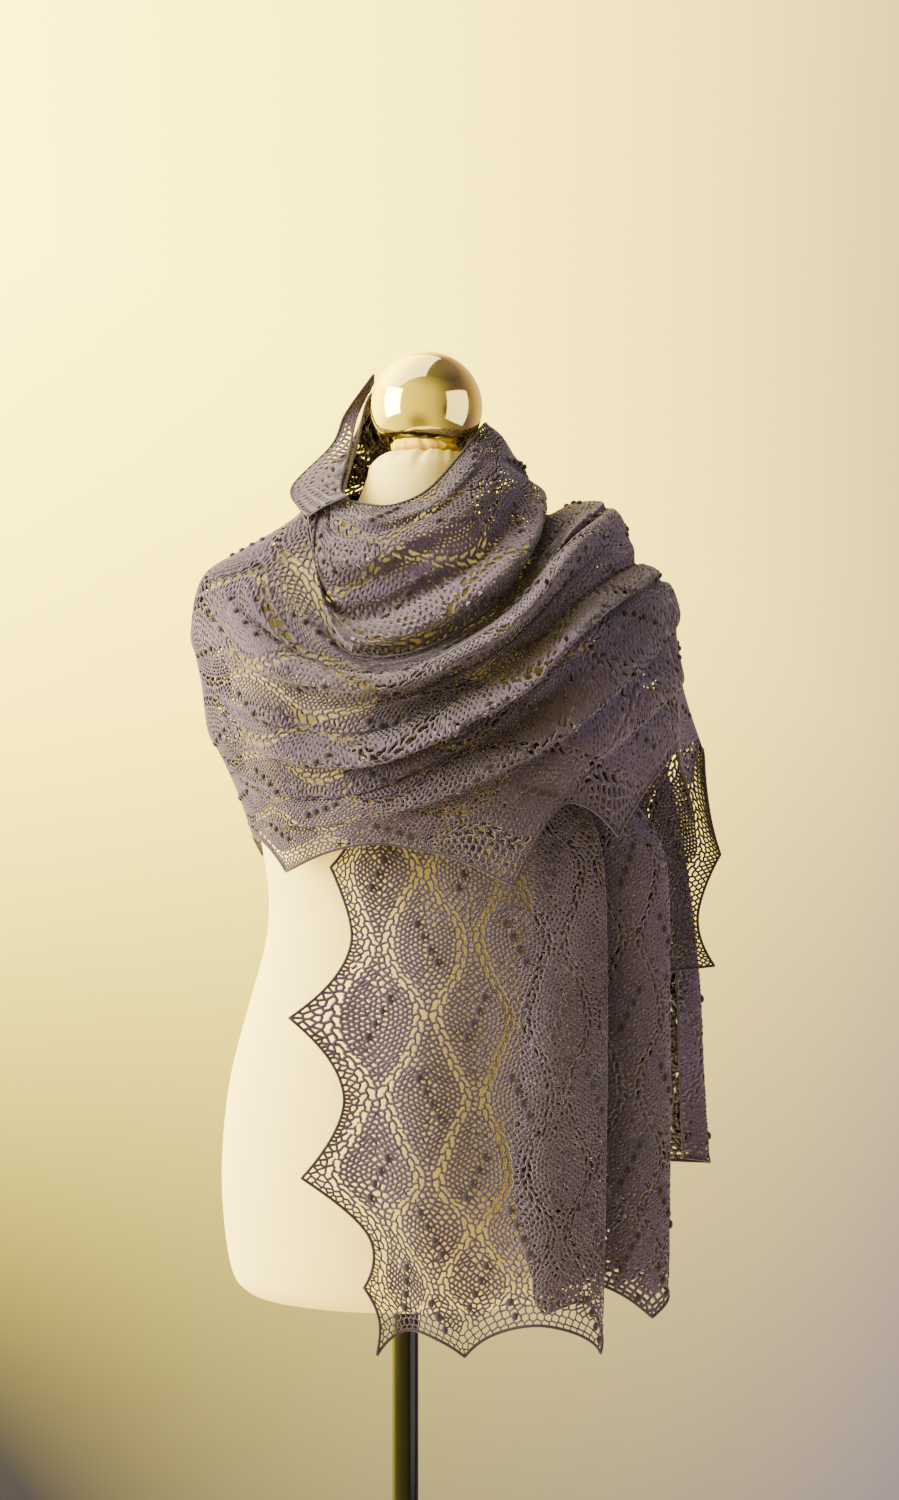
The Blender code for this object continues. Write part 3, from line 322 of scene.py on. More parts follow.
# Front fall: each row is a level, each column a line down the cloth, from its left edge through its folds
FRONT_LINES = (
    "points", "border", "left_flute", "middle", "right_flute", "first_fold", "behind_fold",
    "inner_run", "second_fold", "outer_run", "third_flute", "third_fold", "return_run", "return_end",
)
FRONT_LEVELS = {
    "under_wrap": (
        (-0.034, -0.104, 1.300), (-0.010, -0.116, 1.300), (0.020, -0.118, 1.300), (0.048, -0.116, 1.298),
        (0.080, -0.112, 1.290), (0.118, -0.106, 1.268), (0.140, -0.092, 1.240), (0.122, -0.093, 1.236),
        (0.112, -0.094, 1.236), (0.134, -0.080, 1.236), (0.156, -0.068, 1.236), (0.172, -0.052, 1.236),
        (0.166, -0.040, 1.236), (0.160, -0.034, 1.236),
    ),
    "bust": (
        (-0.050, -0.104, 1.222), (-0.026, -0.116, 1.222), (0.010, -0.118, 1.222), (0.050, -0.117, 1.220),
        (0.098, -0.112, 1.214), (0.146, -0.104, 1.206), (0.150, -0.091, 1.204), (0.129, -0.091, 1.204),
        (0.114, -0.091, 1.204), (0.142, -0.078, 1.204), (0.172, -0.069, 1.204), (0.194, -0.051, 1.204),
        (0.180, -0.038, 1.204), (0.162, -0.032, 1.204),
    ),
    "below_wrap": (
        (-0.062, -0.104, 1.140), (-0.034, -0.114, 1.140), (0.010, -0.112, 1.140), (0.060, -0.120, 1.140),
        (0.118, -0.112, 1.140), (0.172, -0.102, 1.140), (0.171, -0.090, 1.140), (0.146, -0.088, 1.140),
        (0.119, -0.086, 1.140), (0.160, -0.072, 1.140), (0.205, -0.072, 1.140), (0.236, -0.050, 1.140),
        (0.206, -0.038, 1.140), (0.168, -0.030, 1.140),
    ),
    "waist": (
        (-0.098, -0.146, 1.002), (-0.040, -0.138, 1.002), (0.014, -0.146, 1.002), (0.070, -0.138, 1.002),
        (0.126, -0.140, 1.002), (0.176, -0.116, 1.002), (0.174, -0.100, 1.002), (0.144, -0.100, 1.002),
        (0.108, -0.096, 1.002), (0.158, -0.078, 1.002), (0.208, -0.080, 1.002), (0.241, -0.054, 1.002),
        (0.208, -0.038, 1.002), (0.170, -0.036, 1.002),
    ),
    "hip": (
        (-0.087, -0.152, 0.864), (-0.040, -0.144, 0.864), (0.014, -0.154, 0.864), (0.070, -0.144, 0.864),
        (0.126, -0.148, 0.864), (0.175, -0.120, 0.864), (0.172, -0.103, 0.864), (0.140, -0.108, 0.864),
        (0.097, -0.114, 0.864), (0.156, -0.088, 0.864), (0.208, -0.084, 0.864), (0.241, -0.056, 0.864),
        (0.212, -0.040, 0.864), (0.186, -0.044, 0.864),
    ),
    "knee_of_hem": (
        (-0.036, -0.150, 0.776), (-0.008, -0.146, 0.776), (0.022, -0.154, 0.776), (0.072, -0.145, 0.776),
        (0.126, -0.148, 0.776), (0.174, -0.122, 0.776), (0.170, -0.105, 0.782), (0.144, -0.110, 0.790),
        (0.108, -0.116, 0.798), (0.158, -0.088, 0.795), (0.206, -0.086, 0.791), (0.240, -0.058, 0.786),
        (0.212, -0.042, 0.792), (0.188, -0.044, 0.797),
    ),
    "hem_points": (
        (-0.022, -0.150, 0.710), (0.004, -0.147, 0.710), (0.034, -0.153, 0.709), (0.070, -0.146, 0.708),
        (0.124, -0.148, 0.706), (0.172, -0.124, 0.704), (0.168, -0.108, 0.712), (0.146, -0.112, 0.726),
        (0.118, -0.116, 0.742), (0.160, -0.090, 0.736), (0.206, -0.086, 0.729), (0.239, -0.060, 0.722),
        (0.214, -0.044, 0.732), (0.190, -0.046, 0.742),
    ),
}

# Under fall down the back, nearer the form, from the inner fold to the pointed outer edge
UNDER_LINES = ("inner_fold", "inner_flute", "middle", "outer_flute", "border", "points")
UNDER_LEVELS = {
    "shoulder_blade": (
        (0.158, 0.108, 1.292), (0.186, 0.100, 1.282), (0.216, 0.104, 1.266), (0.248, 0.092, 1.242),
        (0.276, 0.086, 1.216), (0.297, 0.078, 1.184),
    ),
    "rib": (
        (0.124, 0.112, 1.180), (0.162, 0.100, 1.172), (0.200, 0.108, 1.163), (0.237, 0.093, 1.154),
        (0.270, 0.094, 1.144), (0.302, 0.080, 1.134),
    ),
    "waist": (
        (0.108, 0.108, 1.085), (0.150, 0.096, 1.083), (0.192, 0.106, 1.080), (0.228, 0.090, 1.078),
        (0.262, 0.093, 1.075), (0.298, 0.080, 1.072),
    ),
    "hem_points": (
        (0.104, 0.105, 1.006), (0.147, 0.094, 1.010), (0.190, 0.104, 1.014), (0.227, 0.089, 1.018),
        (0.262, 0.092, 1.022), (0.296, 0.080, 1.027),
    ),
}

# Over fall down the back, outside the under fall, from its inner edge to its outer fold
# and the turn behind it
OVER_LINES = ("inner_edge", "inner_flute", "middle", "outer_flute", "outer_fold", "turn")
OVER_LEVELS = {
    "shoulder_blade": (
        (0.088, 0.124, 1.350), (0.122, 0.121, 1.345), (0.156, 0.134, 1.338), (0.190, 0.124, 1.326),
        (0.222, 0.122, 1.310), (0.222, 0.114, 1.306),
    ),
    "rib": (
        (0.072, 0.140, 1.220), (0.118, 0.128, 1.213), (0.165, 0.143, 1.205), (0.214, 0.129, 1.195),
        (0.262, 0.122, 1.182), (0.246, 0.110, 1.180),
    ),
    "waist": (
        (0.066, 0.142, 1.050), (0.118, 0.127, 1.045), (0.171, 0.145, 1.039), (0.228, 0.128, 1.032),
        (0.284, 0.119, 1.022), (0.262, 0.108, 1.020),
    ),
    "hip": (
        (0.063, 0.142, 0.930), (0.118, 0.127, 0.925), (0.173, 0.144, 0.920), (0.231, 0.126, 0.914),
        (0.290, 0.117, 0.905), (0.266, 0.106, 0.905),
    ),
    "hem_points": (
        (0.062, 0.140, 0.842), (0.118, 0.125, 0.838), (0.174, 0.142, 0.834), (0.232, 0.125, 0.833),
        (0.295, 0.116, 0.832), (0.269, 0.106, 0.838),
    ),
}

# The wrap's lines that run on into the over fall, then the ones that run on into the under fall
LINES_INTO_FALLS = (1.0, 2.0, 3.0, 4.0, 5.0, 5.75, 6.0, 7.0, 8.0, 9.0)

# How far the over fall's turn starts from its outer fold, on the wrap's last two places
FOLD_TURN = (0.006, 0.0, -0.010)

# Turned-over flap at the left of the neck: its fold lies on the roll's rim, its edge has two points
FLAP_LINES = ("edge", "middle", "fold")
FLAP_LEVELS = {
    "top_point": ((-0.031, 0.051, 1.592), (-0.031, 0.052, 1.588), (-0.0315, 0.054, 1.584)),
    "upper_arc": ((-0.057, 0.037, 1.553), (-0.051, 0.038, 1.553), (-0.0465, 0.038, 1.551)),
    "mid_arc": ((-0.069, 0.020, 1.521), (-0.061, 0.018, 1.524), (-0.0515, 0.012, 1.521)),
    "low_point": ((-0.104, -0.010, 1.479), (-0.081, -0.014, 1.492), (-0.0560, -0.025, 1.495)),
    "lower_arc": ((-0.096, -0.040, 1.456), (-0.079, -0.049, 1.466), (-0.0585, -0.056, 1.4695)),
    "front_end": ((-0.086, -0.070, 1.446), (-0.070, -0.080, 1.454), (-0.050, -0.086, 1.462)),
}




def blend_weights(u):
    """The four Catmull-Rom weights at the share u of a span."""
    return (
        0.5 * (-u + 2 * u**2 - u**3),
        0.5 * (2 - 5 * u**2 + 3 * u**3),
        0.5 * (u + 4 * u**2 - 3 * u**3),
        0.5 * (-(u**2) + u**3),
    )


def spline(knots, at, closed=False):
    """A smooth curve through the rows of knots, read at the places at, counted in rows."""
    knots, at = np.asarray(knots, float), np.asarray(at, float)
    count = len(knots)
    if closed:
        at = np.mod(at, count)
        span = np.floor(at).astype(int)
        rows = [(span + k) % count for k in (-1, 0, 1, 2)]
        picked = [knots[r] for r in rows]
    else:
        padded = np.concatenate([[2 * knots[0] - knots[1]], knots, [2 * knots[-1] - knots[-2]]])
        span = np.clip(np.floor(at).astype(int), 0, count - 2)
        picked = [padded[span + k] for k in range(4)]
    share = at - span
    return sum(w[(...,) + (None,) * (knots.ndim - 1)] * p for w, p in zip(blend_weights(share), picked))


FORM_TABLE = np.array(FORM_SECTIONS)


def form_section(height):
    """Half width, half depth and centre of the form at a height."""
    return [np.interp(height, FORM_TABLE[:, 0], FORM_TABLE[:, k]) for k in range(1, len(FORM_COLUMNS))]


def outside_form(points):
    """About how far each point lies outside the form, and the outward direction there."""
    def level(p):
        wide, deep, mid_x, mid_y = form_section(p[:, 2])
        return np.hypot((p[:, 0] - mid_x) / wide, (p[:, 1] - mid_y) / deep) - 1

    step = 1e-4
    here = level(points)
    slope = np.stack([(level(points + step * axis) - here) / step for axis in np.eye(3)], axis=1)
    steep = np.linalg.norm(slope, axis=1) + 1e-9
    return here / steep, slope / steep[:, None]


def clear_of_form(points, clearance):
    """The points, with those nearer the form than the clearance moved out to it."""
    shape = points.shape
    moved = points.reshape(-1, 3).copy()
    for _ in range(4):
        away, outward = outside_form(moved)
        moved += outward * np.clip(clearance - away, 0, 0.01)[:, None]
    return moved.reshape(shape)


def hollow(places, tips, shares=()):
    """0 at each point of the edge and 1, or the arc's own share, halfway between two of them."""
    after = np.clip(np.searchsorted(tips, places, side="right"), 1, len(tips) - 1)
    left, right = np.asarray(tips)[after - 1], np.asarray(tips)[after]
    arc = 1 - np.clip(np.abs(2 * (places - left) / (right - left) - 1), 0, 1) ** ARC_POWER
    return arc * np.asarray(shares)[after - 1] if len(shares) else arc




def net_of(table, columns):
    """A table of fold lines or levels as rows of points, one for each of its named columns."""
    net = np.array(list(table.values()), float)
    if net.shape[1] != len(columns):
        raise ValueError("a row of the table has more or fewer points than it has columns")
    return net


def arc_length(points, axis):
    """Mean length along one way of a grid of points, counted from its start."""
    steps = np.linalg.norm(np.diff(points, axis=axis), axis=2).mean(axis=1 - axis)
    return np.concatenate([[0.0], np.cumsum(steps)])


class Sheet:
    """A wound stretch of the stole, as a smooth surface and its size laid flat.

    net holds points by place along and line across, and span is (along from, to, across
    from, to) in places and lines. The edge 'first', 'last' or 'end' may have points: its
    entry is (places of the points, depth).
    """

    def __init__(self, net, span, closed=False, clearance=0.0, edges=None, creases=()):
        self.net, self.span, self.outward, self.creases = net, span, 1, ()
        self.closed, self.clearance, self.edges = closed, clearance, edges or {}
        self.places = np.linspace(span[0], span[1], 161)
        self.lines = np.linspace(span[2], span[3], 81)
        grid = self.at_places(*np.meshgrid(self.places, self.lines, indexing="ij"))
        self.along, self.across = arc_length(grid, 0), arc_length(grid, 1)
        self.length, self.width = self.along[-1], self.across[-1]
        self.creases = [self.flat_crease(*crease) for crease in creases]
        v, u = np.meshgrid(np.linspace(0.1, 0.9, 9) * self.length, np.linspace(0.1, 0.9, 9) * self.width)
        flat = np.stack([v.ravel(), u.ravel()], axis=1)
        looks = (self.normals(flat) * self.points(flat) * np.array([1.0, 1.0, 0.0])).sum()
        self.outward = 1 if looks > 0 else -1

    def at_places(self, place, line):
        """Points of the surface at places along and lines across."""
        shape = np.shape(place)
        flat_s, flat_t = np.ravel(place).astype(float), np.ravel(line).astype(float)
        rows = spline(self.net, flat_s, self.closed)
        span = np.clip(np.floor(flat_t).astype(int), 0, self.net.shape[1] - 2)
        before, beyond = 2 * rows[:, :1] - rows[:, 1:2], 2 * rows[:, -1:] - rows[:, -2:-1]
        wide = np.concatenate([before, rows, beyond], axis=1)
        each = np.arange(len(flat_t))
        points = sum(w[:, None] * wide[each, span + k] for k, w in enumerate(blend_weights(flat_t - span)))
        if self.creases:
            u = np.interp(flat_t, self.lines, self.across)
            rise = self.relief(np.stack([self.flat_along(flat_s), u], axis=1))
            _, outward = outside_form(points)
            points = points + outward * rise[:, :1] - np.array([0.0, 0.0, 1.0]) * rise[:, 1:]
        if self.clearance:
            points = clear_of_form(points, self.clearance)
        return points.reshape(shape + (3,))

    def flat_crease(self, crest, wide):
        """A crease's crest as fine flat points with its height at each, and its half width."""
        crest = np.array(crest)
        fine = spline(crest, np.linspace(0, len(crest) - 1, 8 * (len(crest) - 1) + 1))
        flat = np.stack([self.flat_along(fine[:, 0]), np.interp(fine[:, 1], self.lines, self.across)], axis=1)
        return flat, np.clip(fine[:, 2], 0, None), wide

    def relief(self, flat):
        """How far the creases lift each flat point outwards, and how far they let it sag."""
        total = np.zeros((len(flat), 2))
        for crest, height, wide in self.creases:
            run = np.diff(crest, axis=0)
            near = np.full(len(flat), np.inf)
            high, below = np.zeros(len(flat)), np.zeros(len(flat), bool)
            for start, step, tall, next_tall in zip(crest, run, height, height[1:]):
                away = flat - start
                share = np.clip(away @ step / (step @ step), 0, 1)
                gap = away - share[:, None] * step
                far = np.hypot(gap[:, 0], gap[:, 1])
                closer = far < near
                near[closer] = far[closer]
                high[closer] = (tall + (next_tall - tall) * share)[closer]
                below[closer] = (step[0] * gap[:, 1] - step[1] * gap[:, 0] > 0)[closer]
            bump = np.exp(-((near / np.where(below, CREASE_STEEP * wide, wide)) ** 2))
            ditch = np.exp(-(((near - 1.5 * wide) / (0.7 * wide)) ** 2)) * below
            total[:, 0] += high * (bump - CREASE_DITCH * ditch)
            total[:, 1] += high * bump * CREASE_SAG
        return total

    def place_of(self, v):
        return np.interp(v, self.along, self.places)

    def line_of(self, u):
        return np.interp(u, self.across, self.lines)

    def flat_along(self, place):
        """Flat distance of a place, going on evenly past the sheet's ends."""
        inside = np.interp(place, self.places, self.along)
        first = (self.along[8] - self.along[0]) / (self.places[8] - self.places[0])
        last = (self.along[-1] - self.along[-9]) / (self.places[-1] - self.places[-9])
        before, after = np.minimum(0, place - self.places[0]), np.maximum(0, place - self.places[-1])
        return inside + before * first + after * last

    def points(self, flat):
        """Points of the surface at flat (along, across) distances."""
        return self.at_places(self.place_of(flat[:, 0]), self.line_of(flat[:, 1]))

    def normals(self, flat):
        """Outward unit normals at flat distances."""
        step = 0.0006
        lo = np.array([0.0, 0.0])
        hi = np.array([self.length, self.width])
        one, two = np.array([step, 0.0]), np.array([0.0, step])
        ahead = self.points(np.clip(flat + one, lo, hi)) - self.points(np.clip(flat - one, lo, hi))
        aside = self.points(np.clip(flat + two, lo, hi)) - self.points(np.clip(flat - two, lo, hi))
        normal = np.cross(ahead, aside)
        return self.outward * normal / (np.linalg.norm(normal, axis=1)[:, None] + 1e-12)

    def edge_line(self, side, at):
        """Flat distance across (or along, for the end) of an edge, hollows and all."""
        tips, depth, shares = (*self.edges.get(side, ((), 0.0)), ())[:3]
        if side == "end":
            if not len(tips):
                return np.full(np.shape(at), self.length)
            width = np.linalg.norm(self.net[-1] - self.net[-2], axis=1).mean()
            arc = hollow(self.line_of(at), tips, shares) * min(LONGEST_ARC, depth / width)
            return np.interp(self.span[1] - arc, self.places, self.along)
        if not len(tips):
            return np.full(np.shape(at), 0.0 if side == "first" else self.width)
        near, beside = (0, 1) if side == "first" else (-1, -2)
        width = np.linalg.norm(self.net[:, near] - self.net[:, beside], axis=1).mean()
        arc = hollow(self.place_of(at), tips, shares) * min(LONGEST_ARC, depth / width)
        line = self.span[2] + arc if side == "first" else self.span[3] - arc
        return np.interp(line, self.lines, self.across)

    def inside(self, flat, margin=0.0):
        """Which flat points lie on the cloth."""
        v, u = flat.T
        return (
            (v > margin) & (v < self.edge_line("end", u) - margin)
            & (u > self.edge_line("first", v) + margin) & (u < self.edge_line("last", v) - margin)
        )


class Pattern:
    """Leaf lace laid out on a sheet, counted in from the side that carries its border.

    The wavy ladders of eyelets part the leaves, and inside a leaf the stitches stand in
    rows that follow the ladder beside them.
    """

    def __init__(self, sheet, side, shift, seed):
        self.sheet, self.side, self.shift, self.shifted = sheet, side, shift, float(seed)
        self.dice = np.random.default_rng(seed)
        bordered = len(sheet.edges[side][0]) > 0 or sheet.width < 2 * BORDER_WIDTH
        self.border = BORDER_WIDTH if bordered else 0.0
        self.borders = {edge: self.edge_samples(edge) for edge in sheet.edges}

    def across(self, depth):
        """The across coordinate of a depth from the line through the points, or the other way round."""
        return depth if self.side == "first" else self.sheet.width - depth

    def turn(self, v):
        """The pattern's turn along the cloth, one whole turn from leaf to leaf in a column."""
        tips = self.sheet.edges.get(self.side, ((),))[0]
        if len(tips) and self.shift is None:
            return np.interp(v, self.sheet.flat_along(np.array(tips)), 2 * math.pi * np.arange(len(tips)))
        return 2 * math.pi * (v - (self.shift or 0.0)) / LEAF_REPEAT

    def ladder(self, k, v):
        """Depth of the middle of ladder k."""
        swing = LADDER_SWING * np.cos(self.turn(v)) * (-1 if k % 2 else 1)
        drift = sum(
            LADDER_DRIFT * np.sin(2 * math.pi * v / wave + start + 2.1 * k)
            for wave, start in ((0.053, self.shifted), (0.193, 2 * self.shifted))
        )
        return self.border + k * LEAF_COLUMN - swing + drift

    def ladders(self):
        room = max(0.0, self.sheet.width - self.border)
        return range(0 if self.border else -1, int(room / LEAF_COLUMN) + 2)

    def edge_curve(self, side):
        """Fine flat points along an edge of the cloth."""
        sheet = self.sheet
        if side == "end":
            at = np.linspace(0, sheet.width, 1501)
            return np.stack([sheet.edge_line(side, at), at], axis=1)
        at = np.linspace(0, sheet.length, 3001)
        return np.stack([at, sheet.edge_line(side, at)], axis=1)

    def edge_samples(self, side):
        """Even places along an edge, halfway round each point of it, with inward directions."""
        curve = self.edge_curve(side)
        run = np.concatenate([[0.0], np.cumsum(np.linalg.norm(np.diff(curve, axis=0), axis=1))])
        tips = np.array(self.sheet.edges[side][0], float)
        if side == "end":
            marks = np.interp(tips, self.sheet.lines, self.sheet.across)
            fine = curve[:, 1]
        else:
            marks, fine = self.sheet.flat_along(tips), curve[:, 0]
        marks = marks[(marks > fine[0] + 0.004) & (marks < fine[-1] - 0.004)]
        stops = np.concatenate([[0.0], np.interp(marks, fine, run), [run[-1]]])
        steps = []
        for low, high in zip(stops, stops[1:]):
            count = max(2, round((high - low) / EDGE_STEP))
            steps.append(low + (np.arange(count) + 0.5) * (high - low) / count)
        at = np.concatenate(steps)
        point = np.stack([np.interp(at, run, curve[:, axis]) for axis in (0, 1)], axis=1)
        reach = 0.0012
        ahead = np.stack([np.interp(at + reach, run, curve[:, axis]) for axis in (0, 1)], axis=1)
        back = np.stack([np.interp(at - reach, run, curve[:, axis]) for axis in (0, 1)], axis=1)
        along = unit(ahead - back)
        inward = np.stack([-along[:, 1], along[:, 0]], axis=1)
        if side in ("last", "end"):
            inward *= -1 if side == "last" else 1
        return point, inward, along

    def edge_path(self, side):
        """Flat points along an edge for its cord, every point of the edge among them."""
        curve = self.edge_curve(side)
        run = np.concatenate([[0.0], np.cumsum(np.linalg.norm(np.diff(curve, axis=0), axis=1))])
        tips = np.array(self.sheet.edges[side][0], float)
        if side == "end":
            marks, fine = np.interp(tips, self.sheet.lines, self.sheet.across), curve[:, 1]
        else:
            marks, fine = self.sheet.flat_along(tips), curve[:, 0]
        marks = marks[(marks > fine[0]) & (marks < fine[-1])]
        at = np.union1d(np.linspace(0, run[-1], int(run[-1] / CORD_STEP) + 2), np.interp(marks, fine, run))
        return np.stack([np.interp(at, run, curve[:, axis]) for axis in (0, 1)], axis=1)

    def near_edge(self, flat, side):
        """Distance of each flat point from an edge."""
        curve = self.edge_curve(side)[::8]
        tree = KDTree(len(curve))
        for k, (v, u) in enumerate(curve.tolist()):
            tree.insert((v, u, 0.0), k)
        tree.balance()
        return np.array([tree.find((v, u, 0.0))[2] for v, u in flat.tolist()])

    def border_seeds(self, side):
        """Rows of border stitches, between the edge's own row and the first ladder or the leaves."""
        rows = [np.zeros((0, 2))]
        long_way = self.sheet.width if side == "end" else self.sheet.length
        if side == "end":
            for row in range(1, HEM_ROWS):
                at = (np.arange(int(long_way / BORDER_MESH) + 1) + 0.5 * (row % 2)) * BORDER_MESH
                line = self.sheet.edge_line(side, at) - EDGE_ROW - (row - 0.5) * BORDER_MESH
                rows.append(np.stack([line, at], axis=1))
            return np.concatenate(rows)
        if side != self.side or not self.border:
            return rows[0]
        for row in range(1, BORDER_ROWS):
            at = (np.arange(int(long_way / BORDER_MESH) + 1) + 0.5 * (row % 2)) * BORDER_MESH
            edge = self.sheet.edge_line(side, at)
            inner = self.across(self.ladder(0, at) - 2 * LADDER_SIDE)
            share = (row + 0.1) / BORDER_ROWS
            rows.append(np.stack([at, edge + (inner - edge) * share], axis=1))
        return np.concatenate(rows)

    def ladder_seeds(self):
        """Stitch centres of the eyelets, two columns to a ladder, and the eyelet each is part of."""
        made, holes = [], []
        count = int(self.sheet.length / LADDER_RUNG) + 3
        part = (np.arange(LADDER_PARTS) + 0.5) / LADDER_PARTS
        for k in self.ladders():
            for way in (-1, 1):
                rungs = np.arange(-1, count) + (0.25 + 0.25 * way) + 0.3 * (k % 2)
                v = ((rungs[:, None] + part) * LADDER_RUNG).ravel()
                lean = way * LADDER_LEAN * np.tile(part - 0.5, len(rungs))
                made.append(np.stack([v, self.across(self.ladder(k, v) + way * LADDER_SIDE + lean)], axis=1))
                first = len(holes) * (count + 1)
                holes.append(first + np.repeat(np.arange(count + 1), LADDER_PARTS))
        return np.concatenate(made), np.concatenate(holes)

    def leaf_seeds(self):
        """Stitches inside the leaves, in rows that follow the nearer ladder."""
        count = int(self.sheet.length / LEAF_MESH) + 2
        made = []
        for k in self.ladders():
            for row in range(12):
                v = (np.arange(-1, count) + 0.5 * (row % 2)) * LEAF_MESH
                low, high = self.ladder(k, v), self.ladder(k + 1, v)
                half, away = (high - low) / 2, LADDER_CLEAR + row * LEAF_ROW
                for depth, kept in ((low + away, away <= half), (high - away, away <= half - LEAF_ROW / 2)):
                    made.append(np.stack([v, self.across(depth)], axis=1)[kept])
        net = np.concatenate(made)
        return net + self.dice.uniform(-0.5, 0.5, net.shape) * STITCH_WOBBLE * LEAF_ROW

    def seeds(self):
        """Stitch centres on the cloth, their kinds and gaps, and the outer ones that bound them."""
        sheet = self.sheet
        middles, holes = self.ladder_seeds()
        leaves = self.leaf_seeds()
        rims, parts, ghosts = [], [], [np.zeros((0, 2))]
        for side in sheet.edges:
            point, inward, along = self.borders[side]
            edge_row, border = point + inward * EDGE_ROW / 2, self.border_seeds(side)
            for other in sheet.edges:
                if other != side:
                    edge_row = edge_row[self.near_edge(edge_row, other) > EDGE_ROW / 2 - 0.0002]
                    border = border[self.near_edge(border, other) > EDGE_ROW]
            rims.append((edge_row, BORDER_HOLE))
            parts.append((border, BORDER_HOLE))
            hem = side == "end"
            clear = self.near_edge(middles, side) > (HEM_CLEAR if hem else EDGE_ROW + 0.0035)
            middles, holes = middles[clear], holes[clear]
            leaves = leaves[self.near_edge(leaves, side) > (HEM_CLEAR if hem else EDGE_ROW + 0.001)]
            for away in (EDGE_ROW / 2, EDGE_ROW / 2 + BORDER_MESH):
                row = point - inward * away
                before = [row[0] - along[0] * EDGE_STEP * k for k in (1, 2)]
                after = [row[-1] + along[-1] * EDGE_STEP * k for k in (1, 2)]
                ghosts.append(np.concatenate([row, before, after]))
        parts = [*rims, (middles, LADDER_HOLE), *parts, (leaves, LEAF_HOLE)]
        ordered = np.concatenate([flat for flat, _ in parts])
        kinds = np.concatenate([np.full(len(flat), kind) for flat, kind in parts])
        gaps = np.full(len(ordered), -1)
        gaps[kinds == LADDER_HOLE] = holes
        on = sheet.inside(ordered, 0.0006)
        ordered, kinds, gaps = ordered[on], kinds[on], gaps[on]
        kept = spaced(ordered, CLOSEST_SEEDS)
        real, kinds, gaps = ordered[kept], kinds[kept], gaps[kept]
        ghosts = np.concatenate(ghosts)
        ghosts = ghosts[~sheet.inside(ghosts)]
        for axis, side, limit in (
            (0, "start", 0.0), (0, "end", sheet.length), (1, "first", 0.0), (1, "last", sheet.width),
        ):
            if side in sheet.edges:
                continue
            inner = 1 if limit == 0.0 else -1
            ghosts = ghosts[(ghosts[:, axis] - limit) * inner > 0]
            both = np.concatenate([real, ghosts])
            away = (both[:, axis] - limit) * inner
            mirrored = both[(away > 0) & (away < GHOST_REACH)].copy()
            mirrored[:, axis] = 2 * limit - mirrored[:, axis]
            ghosts = np.concatenate([ghosts, mirrored])
        return real, kinds, gaps, ghosts

    def nupps(self):
        """Flat places of the bobbles, a slanted row in the middle of each leaf."""
        fine = np.linspace(0, self.sheet.length, 2001)
        turn = self.turn(fine)
        found = []
        for k in self.ladders():
            lean = -1 if k % 2 == 0 else 1
            for whole in range(int(turn[0] / (2 * math.pi)) - 2, int(turn[-1] / (2 * math.pi)) + 3):
                goal = 2 * math.pi * whole + (math.pi if k % 2 else 0.0)
                if not turn[0] <= goal <= turn[-1]:
                    continue
                v = np.interp(goal, turn, fine)
                depth = self.border + (k + 0.5) * LEAF_COLUMN
                for i in range(NUPPS_A_LEAF):
                    off = i - (NUPPS_A_LEAF - 1) / 2
                    found.append((v + off * NUPP_ALONG, self.across(depth + lean * off * NUPP_ACROSS)))
        found = np.array(found).reshape(-1, 2)
        return found[self.sheet.inside(found, 0.006)]


def spaced(seeds, least):
    """Which seeds stay when none may lie closer than least to one listed before it."""
    tree = KDTree(len(seeds))
    for k, (v, u) in enumerate(seeds.tolist()):
        tree.insert((v, u, 0.0), k)
    tree.balance()
    kept = np.ones(len(seeds), bool)
    for k, (v, u) in enumerate(seeds.tolist()):
        if kept[k]:
            for _, other, _ in tree.find_range((v, u, 0.0), least):
                if other > k:
                    kept[other] = False
    return kept


def unit(vectors):
    return vectors / (np.linalg.norm(vectors, axis=1)[:, None] + 1e-12)


def snap_to_edges(junctions, outer, pattern):
    """Moves the outer junctions that lie near an edge of the cloth onto it."""
    curves = [pattern.edge_curve(side)[::3] for side in pattern.sheet.edges]
    curve = np.concatenate(curves)
    tree = KDTree(len(curve))
    for k, (v, u) in enumerate(curve.tolist()):
        tree.insert((v, u, 0.0), k)
    tree.balance()
    for k in outer.tolist():
        _, spot, far = tree.find((*junctions[k], 0.0))
        if far < EDGE_STEP:
            junctions[k] = curve[spot]


